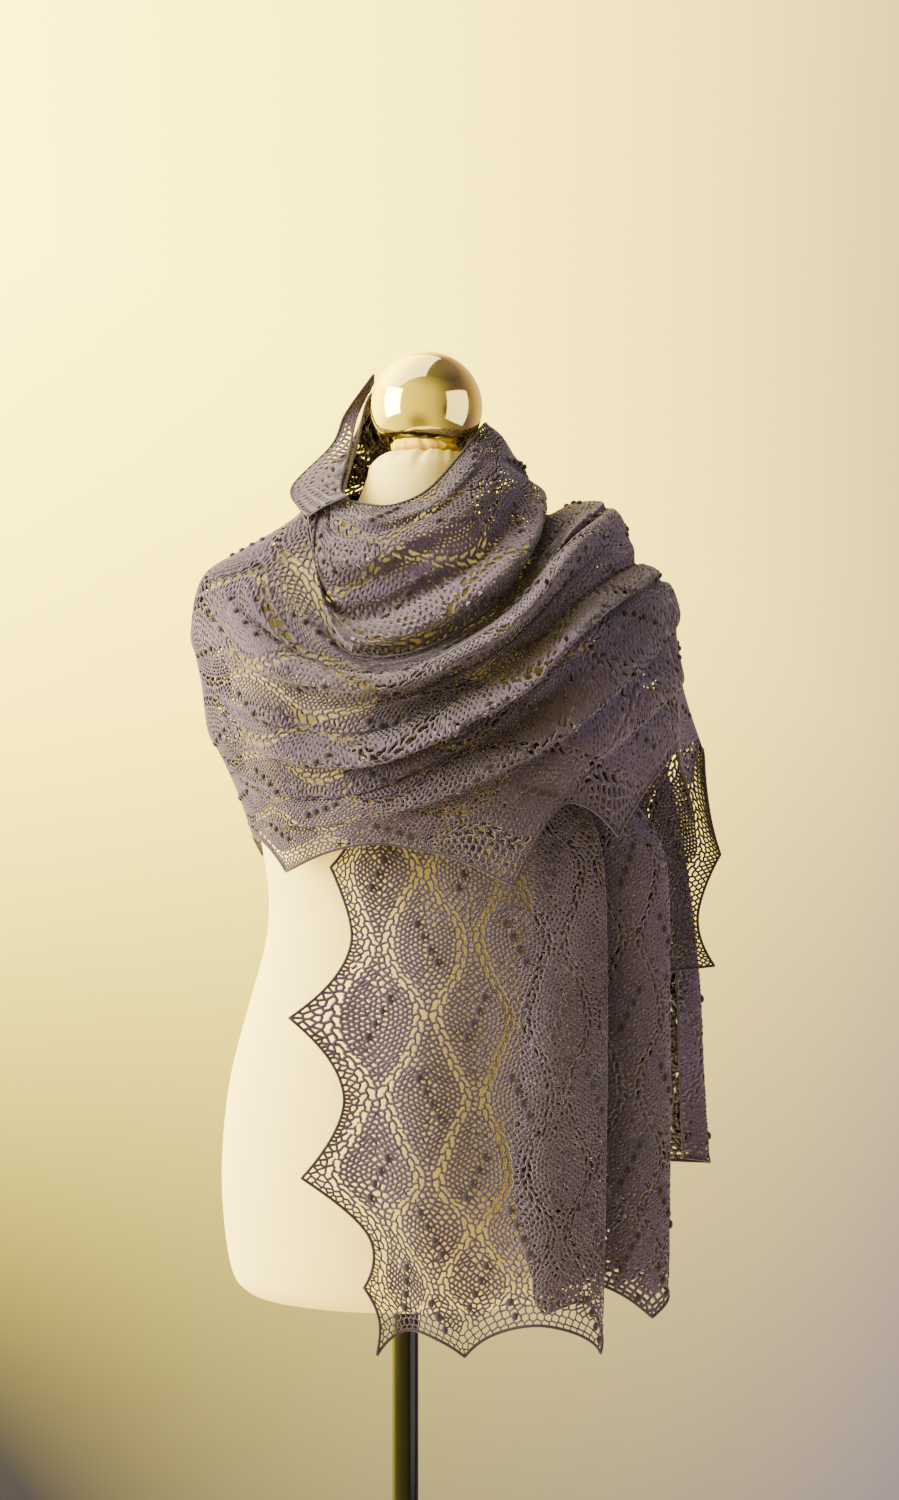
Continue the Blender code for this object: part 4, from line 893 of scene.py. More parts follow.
class Net:
    """Voronoi net of a sheet's stitches: junctions, and edges between pairs of stitches."""

    def __init__(self, pattern):
        self.sheet = pattern.sheet
        real, kinds, gaps, ghosts = pattern.seeds()
        self.count = len(real)
        self.thin = np.append(np.array(THIN_YARN)[kinds], np.ones(len(ghosts) + 1))
        self.seeds = np.concatenate([real, ghosts])
        spots = [Vector(p) for p in self.seeds.tolist()]
        _, _, faces, _, _, _ = delaunay_2d_cdt(spots, [], [], 0, 1e-7, False)
        tris = np.array([f for f in faces if len(f) == 3])
        if tris.max() >= len(self.seeds):
            raise ValueError("two stitches of the lace lie in one place")
        a, b, c = (self.seeds[tris[:, k]] for k in range(3))
        ba, ca = b - a, c - a
        twice = 2 * (ba[:, 0] * ca[:, 1] - ba[:, 1] * ca[:, 0])
        good = (np.abs(twice) > 1e-12) & (tris.min(axis=1) < self.count)
        tris, a, ba, ca, twice = tris[good], a[good], ba[good], ca[good], twice[good]
        bb, cc = (ba**2).sum(axis=1), (ca**2).sum(axis=1)
        middle = np.stack([ca[:, 1] * bb - ba[:, 1] * cc, ba[:, 0] * cc - ca[:, 0] * bb], axis=1)
        centre = a + middle / twice[:, None]
        pairs = np.sort(np.concatenate([tris[:, [0, 1]], tris[:, [1, 2]], tris[:, [2, 0]]]), axis=1)
        owner = np.tile(np.arange(len(tris)), 3)
        order = np.lexsort((pairs[:, 1], pairs[:, 0]))
        pairs, owner = pairs[order], owner[order]
        twin = np.flatnonzero((pairs[1:] == pairs[:-1]).all(axis=1))
        ends = np.stack([owner[twin], owner[twin + 1]], axis=1)
        cells = pairs[twin]
        label = np.arange(len(tris))
        short = np.linalg.norm(centre[ends[:, 0]] - centre[ends[:, 1]], axis=1) < SHORT_EDGE
        for _ in range(4):
            low = label[ends[short]].min(axis=1)
            np.minimum.at(label, ends[short, 0], low)
            np.minimum.at(label, ends[short, 1], low)
        names, label = np.unique(label, return_inverse=True)
        self.junctions = np.zeros((len(names), 2))
        np.add.at(self.junctions, label, centre)
        self.junctions /= np.bincount(label)[:, None]
        ends = label[ends]
        alone = np.arange(len(self.seeds))
        merged, first = np.unique(gaps, return_index=True)
        joined = gaps >= 0
        alone[:self.count][joined] = first[np.searchsorted(merged, gaps[joined])]
        cells = alone[cells]
        keep = (ends[:, 0] != ends[:, 1]) & (cells.min(axis=1) < self.count) & (cells[:, 0] != cells[:, 1])
        self.ends, self.cells = ends[keep], cells[keep]
        outer = np.unique(self.ends[(self.cells >= self.count).any(axis=1)])
        snap_to_edges(self.junctions, outer, pattern)
        limit = np.array([self.sheet.length, self.sheet.width])
        self.junctions = np.clip(self.junctions, 0, limit)
        self.spots = self.sheet.points(self.junctions)
        self.up = self.sheet.normals(self.junctions)
        parts = np.bincount(alone, minlength=len(self.seeds))
        self.flat_middles = np.stack([
            np.bincount(alone, self.seeds[:, axis], len(self.seeds)) / np.maximum(parts, 1) for axis in (0, 1)
        ], axis=1)
        self.middles = self.sheet.points(np.clip(self.flat_middles, 0, limit))
        step = np.array([0.0, 0.001])
        low, high = np.clip(self.junctions - step, 0, limit), np.clip(self.junctions + step, 0, limit)
        reach = np.linalg.norm(self.sheet.points(high) - self.sheet.points(low), axis=1)
        self.stretch = np.clip(reach / (high - low)[:, 1], 0.9, 2.0)


def strand_mesh(net, span, sizes):
    """Vertices and faces of the strands round the stitches in a span of flat distance.

    span is (along from, to, across from, to), and sizes the yarn's half width at places along
    the sheet, the edge cord's half width and the ridge's height.
    """
    widths, cord, ridge = sizes
    seeds = net.seeds
    mine = np.zeros(len(seeds) + 1, bool)
    v, u = net.flat_middles[:net.count].T
    mine[:net.count] = (v >= span[0]) & (v < span[1]) & (u >= span[2]) & (u < span[3])
    used = mine[net.cells].any(axis=1)
    ends, cells = net.ends[used], net.cells[used]
    outside = len(seeds)
    is_ghost = np.zeros(len(net.junctions), bool)
    at_edge = (cells >= net.count).any(axis=1)
    is_ghost[ends[at_edge]] = True
    side = np.where(mine[cells], cells, outside)
    start, finish = net.junctions[ends[:, 0]], net.junctions[ends[:, 1]]
    run, aim = finish - start, net.flat_middles[cells[:, 0]] - start
    left_first = run[:, 0] * aim[:, 1] - run[:, 1] * aim[:, 0] > 0
    left = np.where(left_first, side[:, 0], side[:, 1])
    right = np.where(left_first, side[:, 1], side[:, 0])

    names, flat_ends = np.unique(ends, return_inverse=True)
    one, two = flat_ends.reshape(ends.shape).T
    spots, up = net.spots[names], net.up[names]
    at = net.sheet.place_of(net.junctions[names][:, 0])
    half = np.interp(at, *np.transpose(widths)) * net.stretch[names]
    count = len(names)
    way = unit(spots[two] - spots[one])

    keys = np.concatenate([left * count + one, left * count + two, right * count + one, right * count + two])
    corner_keys, corner = np.unique(keys, return_inverse=True)
    left_one, left_two, right_one, right_two = corner.reshape(4, -1)
    ahead, behind = np.zeros((len(corner_keys), 3)), np.zeros((len(corner_keys), 3))
    ahead[left_one], behind[left_two] = way, -way
    behind[right_one], ahead[right_two] = way, -way
    cell, spot = corner_keys // count, corner_keys % count
    middles = np.concatenate([net.middles, np.zeros((1, 3))])
    aim = middles[cell] - spots[spot]
    out = cell == outside
    inward = np.zeros((count, 3))
    np.add.at(inward, spot[~out], unit(aim[~out]))
    aim[out] = -inward[spot[out]]
    reach = np.linalg.norm(aim, axis=1)
    lie = unit(ahead - behind)
    aim -= up[spot] * (aim * up[spot]).sum(axis=1)[:, None]
    aim = unit(aim - lie * (aim * lie).sum(axis=1)[:, None])
    open_cos = np.linalg.norm(ahead + behind, axis=1) / 2
    pinch = np.sqrt(np.clip(1 - open_cos**2, 0.12, 1))
    fill = np.interp(half[spot], FULL_YARN, FULL_REACH)
    shift = np.minimum(half[spot] * net.thin[cell] / pinch, fill * reach)
    ghost = is_ghost[names][spot]
    shift[out] = np.where(ghost[out], np.minimum(cord / pinch[out], 1.8 * cord), 0.00005)
    corners = spots[spot] + aim * shift[:, None] - up[spot] * ridge * 0.7
    tops = spots + up * (ridge * np.where(is_ghost[names], 1.5, 1.0))[:, None]

    verts = np.concatenate([tops, corners])
    left_one, left_two, right_one, right_two = (k + count for k in (left_one, left_two, right_one, right_two))
    quads = np.concatenate([
        np.stack([one, two, left_two, left_one], axis=1),
        np.stack([two, one, right_one, right_two], axis=1),
        np.stack([left_one, left_two, right_two, right_one], axis=1),
    ])
    if net.sheet.outward < 0:
        quads = quads[:, ::-1]
    flat_aim = np.concatenate([net.flat_middles, np.zeros((1, 2))])[cell] - net.junctions[names][spot]
    flat_in = np.zeros((count, 2))
    np.add.at(flat_in, spot[~out], flat_aim[~out] / (np.linalg.norm(flat_aim[~out], axis=1)[:, None] + 1e-12))
    flat_aim[out] = -flat_in[spot[out]]
    angle = np.arctan2(flat_aim[:, 1], flat_aim[:, 0])
    order = np.lexsort((angle, spot))
    starts = np.flatnonzero(np.diff(spot[order], prepend=-1))
    stops = np.append(starts[1:], len(order))
    below = (order + count).tolist()
    caps = [below[a:b] for a, b in zip(starts, stops) if b - a > 2]
    caps = caps if net.sheet.outward < 0 else [cap[::-1] for cap in caps]
    return verts, quads.tolist() + caps


def cord_mesh(pattern, span, radius, first):
    """A round cord along the edges of the cloth inside a span, as closed tubes."""
    sheet = pattern.sheet
    verts, faces = [], []
    turns = np.arange(CORD_SIDES) * 2 * math.pi / CORD_SIDES
    for side in sheet.edges:
        flat = pattern.edge_path(side)
        v, u = flat.T
        on = (v >= span[0]) & (v <= span[1]) & (u >= span[2]) & (u <= span[3])
        on &= sheet.inside(flat, -0.0006)
        starts = np.flatnonzero(on & ~np.append(False, on[:-1]))
        stops = np.flatnonzero(on & ~np.append(on[1:], False)) + 1
        for start, stop in zip(starts, stops):
            if stop - start < 3:
                continue
            path = flat[start:stop]
            spots, up = sheet.points(np.clip(path, 0, (sheet.length, sheet.width))), sheet.normals(path)
            way = unit(np.gradient(spots, axis=0))
            aside = unit(np.cross(up, way))
            rings = (
                spots[:, None] + radius * np.cos(turns)[None, :, None] * aside[:, None]
                + radius * np.sin(turns)[None, :, None] * up[:, None]
            )
            base = first + sum(map(len, verts))
            verts.append(rings.reshape(-1, 3))
            ring = base + np.arange(len(path))[:, None] * CORD_SIDES
            here = np.arange(CORD_SIDES)
            then = (here + 1) % CORD_SIDES
            low, high = ring[:-1], ring[1:]
            quads = np.stack([low + here, low + then, high + then, high + here], axis=2).reshape(-1, 4)
            faces += quads.tolist()
            faces += [(base + here[::-1]).tolist(), (ring[-1, 0] + here).tolist()]
    return (np.concatenate(verts) if verts else np.zeros((0, 3))), faces


def bobble_mesh(sheet, places, sizes, first):
    """Squashed balls lying on the cloth at flat places: sizes across, along and out."""
    across, along, out = sizes
    if not len(places):
        return np.zeros((0, 3)), []
    spots, up = sheet.points(places), sheet.normals(places)
    step = np.array([0.001, 0.0])
    ahead = unit(sheet.points(places + step) - sheet.points(places - step))
    aside = unit(np.cross(up, ahead))
    ball = bmesh.new()
    bmesh.ops.create_uvsphere(ball, u_segments=8, v_segments=5, radius=1.0)
    shape = np.array([v.co for v in ball.verts])
    faces = [[v.index for v in f.verts] for f in ball.faces]
    ball.free()
    verts, made = [], []
    for k in range(len(places)):
        body = (
            spots[k] + up[k] * out * 0.45 + np.outer(shape[:, 0] * along, ahead[k])
            + np.outer(shape[:, 1] * across, aside[k]) + np.outer(shape[:, 2] * out, up[k])
        )
        shift = first + k * len(shape)
        verts.append(body)
        made += [[shift + n for n in face] for face in faces]
    return np.concatenate(verts), made


def lace_object(name, net, pattern, span, full, props):
    """One lace piece: the strands of its span and the bobbles on its leaves."""
    widths = [(place, share * props.yarn / 2) for place, share in full]
    sizes = (widths, props.cord / 2, props.yarn * 0.36)
    verts, faces = strand_mesh(net, span, sizes)
    places = pattern.nupps()
    if len(places):
        v, u = places.T
        places = places[(v >= span[0]) & (v < span[1]) & (u >= span[2]) & (u < span[3])]
    ball = [props.bobble * share for share in BOBBLE_SHAPE]
    more, extra = bobble_mesh(net.sheet, places, ball, len(verts))
    rim, around = cord_mesh(pattern, span, props.cord * 0.62, len(verts) + len(more))
    mesh = bpy.data.meshes.new(name)
    mesh.from_pydata(np.concatenate([verts, more, rim]).tolist(), [], faces + extra + around)
    mesh.validate()
    mesh.shade_smooth()
    # Bobbles and edge cord take the second material, a darker copy of the yarn with painted shade
    painted_shade_faces = np.arange(len(mesh.polygons)) >= len(faces)
    mesh.polygons.foreach_set("material_index", painted_shade_faces.astype(np.int32))
    made = bpy.data.objects.new(name, mesh)
    bpy.context.scene.collection.objects.link(made)
    return made


def build_sheets():
    """The stole's stretches as smooth surfaces, by name, on the same fold lines as the solids."""
    rest = WALL / 2 + FORM_GAP
    roll_rows, wrap_rows = net_of(ROLL_FOLDS, ROLL_PLACES), net_of(WRAP_FOLDS, WRAP_PLACES)
    under_rows, over_rows = net_of(UNDER_LEVELS, UNDER_LINES), net_of(OVER_LEVELS, OVER_LINES)
    roll_net = np.concatenate([roll_rows, wrap_rows[:1, 1:]]).transpose(1, 0, 2)
    plain = ((), 0.0)
    sheets = {
        "roll": Sheet(
            roll_net, (3.0, 15.0, 0.0, 5.0), closed=True, clearance=rest, edges={"first": plain},
            creases=ROLL_CREASES,
        )
    }

    upper = np.array([[ROLL_START["lower_ridge"]], [ROLL_START["tuck"]]])
    upper = np.concatenate([upper, roll_rows[4:6]], axis=1)
    wrap_net = np.concatenate([upper, wrap_rows]).transpose(1, 0, 2)
    beyond = np.concatenate([roll_rows[4:6, 0], over_rows[0, 1:5], under_rows[0, 1:]])[None]
    wrap_net = np.concatenate([wrap_net, beyond])
    wrap = Sheet(
        wrap_net, (0.0, 12.0, 1.0, 10.0), clearance=rest, edges={"last": (WRAP_TIPS, SCALLOP_DEPTH)},
        creases=WRAP_CREASES,
    )
    sheets["wrap"] = wrap
    front = {
        "first": (FRONT_SIDE_TIPS, SCALLOP_DEPTH, FRONT_SIDE_SHARES),
        "end": (FRONT_END_TIPS, END_DEPTH, FRONT_END_SHARES),
    }
    sheets["front"] = Sheet(
        net_of(FRONT_LEVELS, FRONT_LINES), (0.0, 6.0, 0.0, 13.0), clearance=rest, edges=front
    )

    lines = np.array(LINES_INTO_FALLS)
    last_two = np.stack([wrap.at_places(np.full(len(lines), place), lines) for place in (11.0, 12.0)])
    over_net = np.concatenate([last_two[:, [0, 1, 2, 3, 4, 4]], over_rows])
    over_net[:2, 5] += np.array(FOLD_TURN)
    under_net = np.concatenate([last_two[:, [5, 6, 7, 8, 9, 9]], under_rows])
    under_net[:2, 5] = wrap.at_places(np.array([11.0, 12.0]), np.array([10.0, 10.0]))
    over_edges = {"first": plain, "end": plain}
    sheets["over"] = Sheet(over_net, (1.0, 6.0, 0.0, 5.0), clearance=rest, edges=over_edges)
    sheets["under"] = Sheet(
        under_net, (1.0, 5.0, 0.0, 5.0), clearance=rest,
        edges={"last": (UNDER_TIPS, SHORT_DEPTH), "end": plain},
    )
    sheets["flap"] = Sheet(net_of(FLAP_LEVELS, FLAP_LINES), (0.0, 5.0, 0.0, 2.0), edges={"first": plain})
    return sheets


SHEETS = build_sheets()


def add_lace(context, sheet_name, side, shift, seed, pieces):
    """Lace for the listed pieces of one sheet.

    Each is (name, span in places and lines, how full its yarn is at places along it, what it rests on, which
    is not used); yarn is fuller where the cloth is bunched or lies double.
    """
    props = context.scene.shawl_cloth
    sheet = SHEETS[sheet_name]
    pattern = Pattern(sheet, side, shift, seed)
    net = Net(pattern)
    for name, (s0, s1, t0, t1), full, rests_on in pieces:
        v0, v1 = sheet.flat_along(s0), sheet.flat_along(s1)
        u0, u1 = np.interp([t0, t1], sheet.lines, sheet.across)
        along = (v0 - (s0 == sheet.span[0]), v1 + (s1 == sheet.span[1]))
        ends = (*along, u0 - (t0 == sheet.span[2]), u1 + (t1 == sheet.span[3]))
        made = lace_object(name + "_lace", net, pattern, ends, full, props)
        made.data.materials.append(yarn_material("mauve_yarn_" + name, props, 1.0))
        # The second material is the yarn darkened as painted shade, for the bobbles and cords
        made.data.materials.append(yarn_material("painted_shade_yarn_" + name, props, PACKED_YARN_PAINTED_SHADE))
        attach(made, "root")
        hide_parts(name)


class Shader:
    """A material's node tree, with its Principled shader, built up in plain steps."""

    def __init__(self, name, roughness, metallic=0.0):
        self.material = bpy.data.materials.new(name)
        self.material.use_nodes = True
        self.tree = self.material.node_tree
        self.main = self.tree.nodes["Principled BSDF"]
        self.main.inputs["Roughness"].default_value = roughness
        self.main.inputs["Metallic"].default_value = metallic

    def add(self, kind, sources=(), **values):
        """A node with its inputs set or linked; sources are (input, output socket) pairs."""
        node = self.tree.nodes.new(kind)
        for key, value in values.items():
            if hasattr(node, key):
                setattr(node, key, value)
            else:
                node.inputs[key.replace("_", " ").title()].default_value = value
        for socket, source in sources:
            self.tree.links.new(source, node.inputs[socket])
        return node

    def noise(self, scale, detail=3.0, where=None):
        source = where or self.add("ShaderNodeTexCoord").outputs["Object"]
        return self.add("ShaderNodeTexNoise", [("Vector", source)], Scale=scale, Detail=detail).outputs["Fac"]

    def ramp(self, factor, stops):
        """Colour ramp of (place, colour) stops on a factor."""
        node = self.add("ShaderNodeValToRGB", [("Fac", factor)])
        for k, (place, colour) in enumerate(stops):
            stop = node.color_ramp.elements[k] if k < 2 else node.color_ramp.elements.new(place)
            stop.position, stop.color = place, (*colour, 1.0)
        return node.outputs["Color"]

    def bump(self, height, strength, distance):
        node = self.add("ShaderNodeBump", [("Height", height)], Strength=strength, Distance=distance)
        self.tree.links.new(node.outputs["Normal"], self.main.inputs["Normal"])

    def spread(self, factor, low, high):
        """The factor moved to run from low to high, for a roughness."""
        node = self.add("ShaderNodeMapRange", [("Value", factor)])
        node.inputs["To Min"].default_value = low
        node.inputs["To Max"].default_value = high
        return node.outputs["Result"]

    def link(self, source, name):
        self.tree.links.new(source, self.main.inputs[name])


def scaled(colour, factor):
    return tuple(min(1.0, c * factor) for c in colour)


def yarn_material(name, props, shade):
    """Brushed wool: uneven mauve grey, soft at grazing angles, with a hairy bump."""
    made = Shader(name, 0.9)
    broad, fine = made.noise(9.0, 2.0), made.noise(420.0, 4.0)
    mixed = made.add("ShaderNodeMath", [(0, broad), (1, fine)], operation="ADD")
    half = made.add("ShaderNodeMath", [(0, mixed.outputs[0])], operation="MULTIPLY")
    half.inputs[1].default_value = 0.5
    # With shade below 1 the yarn's colour is darkened, as painted shade
    tint = scaled(props.yarn_colour, shade)
    stops = ((0.30, scaled(tint, 0.55)), (0.50, tint), (0.72, scaled(tint, 1.6)))
    made.link(made.ramp(half.outputs[0], stops), "Base Color")
    made.main.inputs["Sheen Weight"].default_value = 0.35
    made.main.inputs["Sheen Roughness"].default_value = 0.5
    made.main.inputs["Sheen Tint"].default_value = (0.75, 0.70, 0.78, 1.0)
    made.main.inputs["Specular IOR Level"].default_value = 0.2
    made.bump(made.noise(2600.0, 2.0), 0.5, 0.0003)
    return made.material


def jersey_material(props):
    """Cream stretch jersey over padding: fine ribs up the form and a little uneven tone."""
    made = Shader("cream_jersey_knit", 0.78)
    around = made.add("ShaderNodeTexCoord").outputs["UV"]
    bands = []
    for way, scale in (("X", props.ribs), ("Y", props.ribs * 0.8)):
        look = {"wave_type": "BANDS", "bands_direction": way, "Scale": scale}
        bands.append(made.add("ShaderNodeTexWave", [("Vector", around)], **look).outputs["Fac"])
    knit = made.add("ShaderNodeMath", [(0, bands[0]), (1, bands[1])], operation="MULTIPLY")
    tint = tuple(props.jersey_colour)
    tone = made.noise(5.0, 3.0)
    made.link(made.ramp(tone, ((0.30, scaled(tint, 0.93)), (0.70, tint))), "Base Color")
    made.main.inputs["Sheen Weight"].default_value = 0.15
    made.main.inputs["Subsurface Weight"].default_value = 0.08
    made.main.inputs["Subsurface Scale"].default_value = 0.01
    made.bump(knit.outputs[0], 0.35, 0.0004)
    return made.material


def metal_material(name, colour, low, high, scale):
    """Polished metal: its roughness varies a little, with a faint waviness and hairlines."""
    made = Shader(name, (low + high) / 2, 1.0)
    rub = made.noise(scale, 3.0)
    made.link(made.spread(rub, low, high), "Roughness")
    made.link(made.ramp(rub, ((0.35, scaled(colour, 0.93)), (0.65, colour))), "Base Color")
    made.bump(made.noise(scale * 6.0, 2.0), 0.04, 0.0002)
    return made.material


def paint_material(colour):
    """Satin paint on the foot, with fine orange peel and duller patches."""
    made = Shader("satin_foot_paint", 0.4)
    patches = made.noise(30.0, 3.0)
    made.link(made.spread(patches, 0.32, 0.52), "Roughness")
    made.link(made.ramp(patches, ((0.35, scaled(colour, 0.85)), (0.65, scaled(colour, 1.15)))), "Base Color")
    made.bump(made.noise(900.0, 2.0), 0.15, 0.0002)
    return made.material


def form_rings(rows):
    """Level sections of the form read smoothly from its table, with its dished top last."""
    places = np.linspace(0, len(FORM_TABLE) - 1, rows)
    rings = spline(FORM_TABLE, places)
    dish = np.array([(height, radius, radius, *BALL_CENTRE[:2]) for radius, height in NECK_DISH])
    top = np.concatenate([FORM_TABLE[-1:], dish])
    inner = spline(top, np.linspace(0, len(top) - 1, 7 * len(dish))[1:])
    return np.concatenate([rings, inner])


def padded_form(name, segments, rows):
    """The torso's skin, gathered into small tucks round the ball."""
    rings = form_rings(rows)
    turns = np.linspace(0, 2 * math.pi, segments, endpoint=False)
    gather = sum(
        size * np.sin(count * turns + start)
        for count, size, start in ((9, 0.0006, 0.4), (14, 0.0009, 2.0), (23, 0.0006, 4.1))
    )
    shell = bmesh.new()
    uv = shell.loops.layers.uv.new("around")
    loops, length = [], 0.0
    last = None
    heights = []
    for height, wide, deep, mid_x, mid_y in rings:
        share = min(1.0, max(0.0, (height - TUCK_START) / (TUCK_FULL - TUCK_START)))
        if wide < 0.012:
            share *= wide / 0.012
        tuck = gather * share * min(1.0, wide / 0.03)
        loops.append([
            shell.verts.new((
                mid_x + (wide + d) * math.cos(turn), mid_y + (deep + d) * math.sin(turn), height + d * 0.6,
            ))
            for turn, d in zip(turns, tuck)
        ])
        here = np.array([height, wide])
        length += 0.0 if last is None else float(np.linalg.norm(here - last))
        last = here
        heights.append(length)
    girth = 2 * math.pi * 0.15
    for r in range(len(loops) - 1):
        low, high = loops[r], loops[r + 1]
        for k in range(segments):
            n = (k + 1) % segments
            face = shell.faces.new((low[k], low[n], high[n], high[k]))
            for loop, (a, b) in zip(face.loops, ((k, r), (k + 1, r), (k + 1, r + 1), (k, r + 1))):
                loop[uv].uv = (a / segments * girth, heights[b])
    shell.faces.new(reversed(loops[0]))
    shell.faces.new(loops[-1])
    mesh = bpy.data.meshes.new(name)
    shell.to_mesh(mesh)
    shell.free()
    mesh.shade_smooth()
    made = bpy.data.objects.new(name, mesh)
    bpy.context.scene.collection.objects.link(made)
    return made


def turned(name, profile, centre, segments):
    """A piece turned about an upright axis from its (radius, height) profile, from top to bottom."""
    shell = bmesh.new()
    spun = []
    for radius, height in profile:
        if radius < 1e-6:
            spun.append([shell.verts.new((centre[0], centre[1], height))])
            continue
        spun.append([
            shell.verts.new((
                centre[0] + radius * math.cos(2 * math.pi * k / segments),
                centre[1] + radius * math.sin(2 * math.pi * k / segments), height,
            ))
            for k in range(segments)
        ])
    for high, low in zip(spun, spun[1:]):
        for k in range(segments):
            n = (k + 1) % segments
            ring = [high[k % len(high)], low[k % len(low)], low[n % len(low)], high[n % len(high)]]
            shell.faces.new([v for i, v in enumerate(ring) if v not in ring[:i]])
    mesh = bpy.data.meshes.new(name)
    shell.to_mesh(mesh)
    shell.free()
    mesh.shade_smooth()
    mesh.set_sharp_from_angle(angle=math.radians(35))
    made = bpy.data.objects.new(name, mesh)
    bpy.context.scene.collection.objects.link(made)
    return made


def rounded(profile, radius, steps=5):
    """The profile with each inner corner turned into a small arc."""
    points = [Vector(p) for p in profile]
    made = [points[0]]
    for before, here, after in zip(points, points[1:], points[2:]):
        into, out = before - here, after - here
        cut = min(radius, into.length * 0.45, out.length * 0.45)
        a, b = here + into.normalized() * cut, here + out.normalized() * cut
        for k in range(steps + 1):
            t = k / steps
            made.append(a * (1 - t) ** 2 + here * 2 * t * (1 - t) + b * t**2)
    made.append(points[-1])
    return [tuple(p) for p in made]


def settle(made, node, material):
    """Gives a hard piece its finish and puts it in its node's place."""
    made.data.materials.append(material)
    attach(made, "root")
    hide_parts(node)


def air_ramp(tree, source, reach, low, high):
    """Colour that runs from low to high as the source runs over its reach."""
    spread = tree.nodes.new("ShaderNodeMapRange")
    spread.inputs["From Min"].default_value, spread.inputs["From Max"].default_value = reach
    tree.links.new(source, spread.inputs["Value"])
    ramp = tree.nodes.new("ShaderNodeValToRGB")
    ramp.color_ramp.elements[0].color = (*low, 1.0)
    ramp.color_ramp.elements[1].color = (*high, 1.0)
    tree.links.new(spread.outputs["Result"], ramp.inputs["Fac"])
    return ramp.outputs["Color"]


def mixed_air(tree, blend, factor, one, two):
    """Two colours mixed by a factor, which is a number or a node's output."""
    both = tree.nodes.new("ShaderNodeMix")
    both.data_type, both.blend_type = "RGBA", blend
    if isinstance(factor, float):
        both.inputs["Factor"].default_value = factor
    else:
        tree.links.new(factor, both.inputs["Factor"])
    tree.links.new(one, both.inputs[6])
    tree.links.new(two, both.inputs[7])
    return both.outputs[2]


def multiplied(tree, one, two):
    """The product of two colours."""
    return mixed_air(tree, "MULTIPLY", 1.0, one, two)


class ShawlCloth(bpy.types.PropertyGroup):
    yarn: FloatProperty(
        name="Yarn", description="Width of one strand of the lace", default=0.0018, min=0.0006, max=0.003,
        precision=4, unit="LENGTH",
    )
    cord: FloatProperty(
        name="Edge cord", description="Width of the cast-off cord along the edges", default=0.0024,
        min=0.0008, max=0.004, precision=4, unit="LENGTH",
    )
    bobble: FloatProperty(
        name="Bobble", description="Length of the bobbles on the leaves", default=0.0072, min=0.003,
        max=0.012, precision=4, unit="LENGTH",
    )
    cover: FloatProperty(
        name="Declared share", description="Share of a stretch's flat rectangle declared as its area",
        default=1.0, min=0.3, max=1.0, subtype="FACTOR",
    )
    yarn_colour: FloatVectorProperty(
        name="Yarn colour", description="Middle tone of the yarn", default=(0.047, 0.033, 0.078), size=3,
        min=0.0, max=1.0, subtype="COLOR",
    )


class ShawlForm(bpy.types.PropertyGroup):
    segments: IntProperty(
        name="Segments", description="Faces round the torso", default=112, min=36, max=400,
    )
    rows: IntProperty(
        name="Rows", description="Rings of faces up the torso", default=130, min=40, max=400,
    )
    ribs: FloatProperty(
        name="Jersey ribs", description="Scale of the jersey's ribs", default=320.0, min=50.0, max=900.0,
    )
    jersey_colour: FloatVectorProperty(
        name="Jersey colour", description="Lighter tone of the jersey", default=(0.92, 0.745, 0.25), size=3,
        min=0.0, max=1.0, subtype="COLOR",
    )
    brass_colour: FloatVectorProperty(
        name="Brass colour", description="Tone of the ball", default=(0.84, 0.70, 0.20), size=3,
        min=0.0, max=1.0, subtype="COLOR",
    )


class SHAWL_OT_neck_roll(bpy.types.Operator):
    """Build the two lace stretches that are bunched round the neck"""

    bl_idname = "shawl.neck_roll"
    bl_label = "Neck roll"

    def execute(self, context):
        add_lace(context, "roll", "first", 0.03, 11, (
            ("neck_roll_front", (3.0, 9.0, 0.0, 5.0), ((3.0, 1.45), (9.0, 1.45)), ["torso_jersey"]),
            ("neck_roll_back", (9.0, 15.0, 0.0, 5.0), ((9.0, 1.9), (15.0, 2.2)), ["torso_jersey"]),
        ))
        return {"FINISHED"}


class SHAWL_OT_neck_flap(bpy.types.Operator):
    """Build the pointed edge that is turned over at the left of the neck"""

    bl_idname = "shawl.neck_flap"
    bl_label = "Neck flap"

    def execute(self, context):
        add_lace(context, "flap", "first", 0.0, 12, (
            ("neck_flap", (0.0, 5.0, 0.0, 2.0), ((0.0, 2.9), (5.0, 2.9)), ["neck_roll_front_lace"]),
        ))
        return {"FINISHED"}


class SHAWL_OT_wrap(bpy.types.Operator):
    """Build the lace over the shoulders, chest and back"""

    bl_idname = "shawl.wrap"
    bl_label = "Wrap"

    def execute(self, context):
        shift = float(SHEETS["wrap"].flat_along(4.0))
        add_lace(context, "wrap", "last", shift, 13, (
            ("back_wrap", (0.0, 3.0, 1.0, 10.0), ((0.0, 1.45), (3.0, 1.3)), ["torso_jersey"]),
            ("chest_wrap", (3.0, 10.0, 1.0, 10.0), ((3.0, 1.25), (8.2, 1.35), (9.4, 2.6)), ["torso_jersey"]),
            ("shoulder_wrap", (10.0, 12.0, 1.0, 10.0), ((10.0, 2.6), (12.0, 2.8)), ["torso_jersey"]),
        ))
        return {"FINISHED"}


class SHAWL_OT_front_fall(bpy.types.Operator):
    """Build the end of the stole that hangs in front"""

    bl_idname = "shawl.front_fall"
    bl_label = "Front fall"

    def execute(self, context):
        add_lace(context, "front", "first", None, 14, (
            ("front_fall_outer", (0.0, 6.0, 0.0, 6.5), ((0.0, 1.4), (6.0, 1.2)), ["torso_jersey"]),
            ("front_fall_inner", (0.0, 6.0, 6.5, 13.0), ((0.0, 2.3), (6.0, 2.2)), ["torso_jersey"]),
        ))
        return {"FINISHED"}


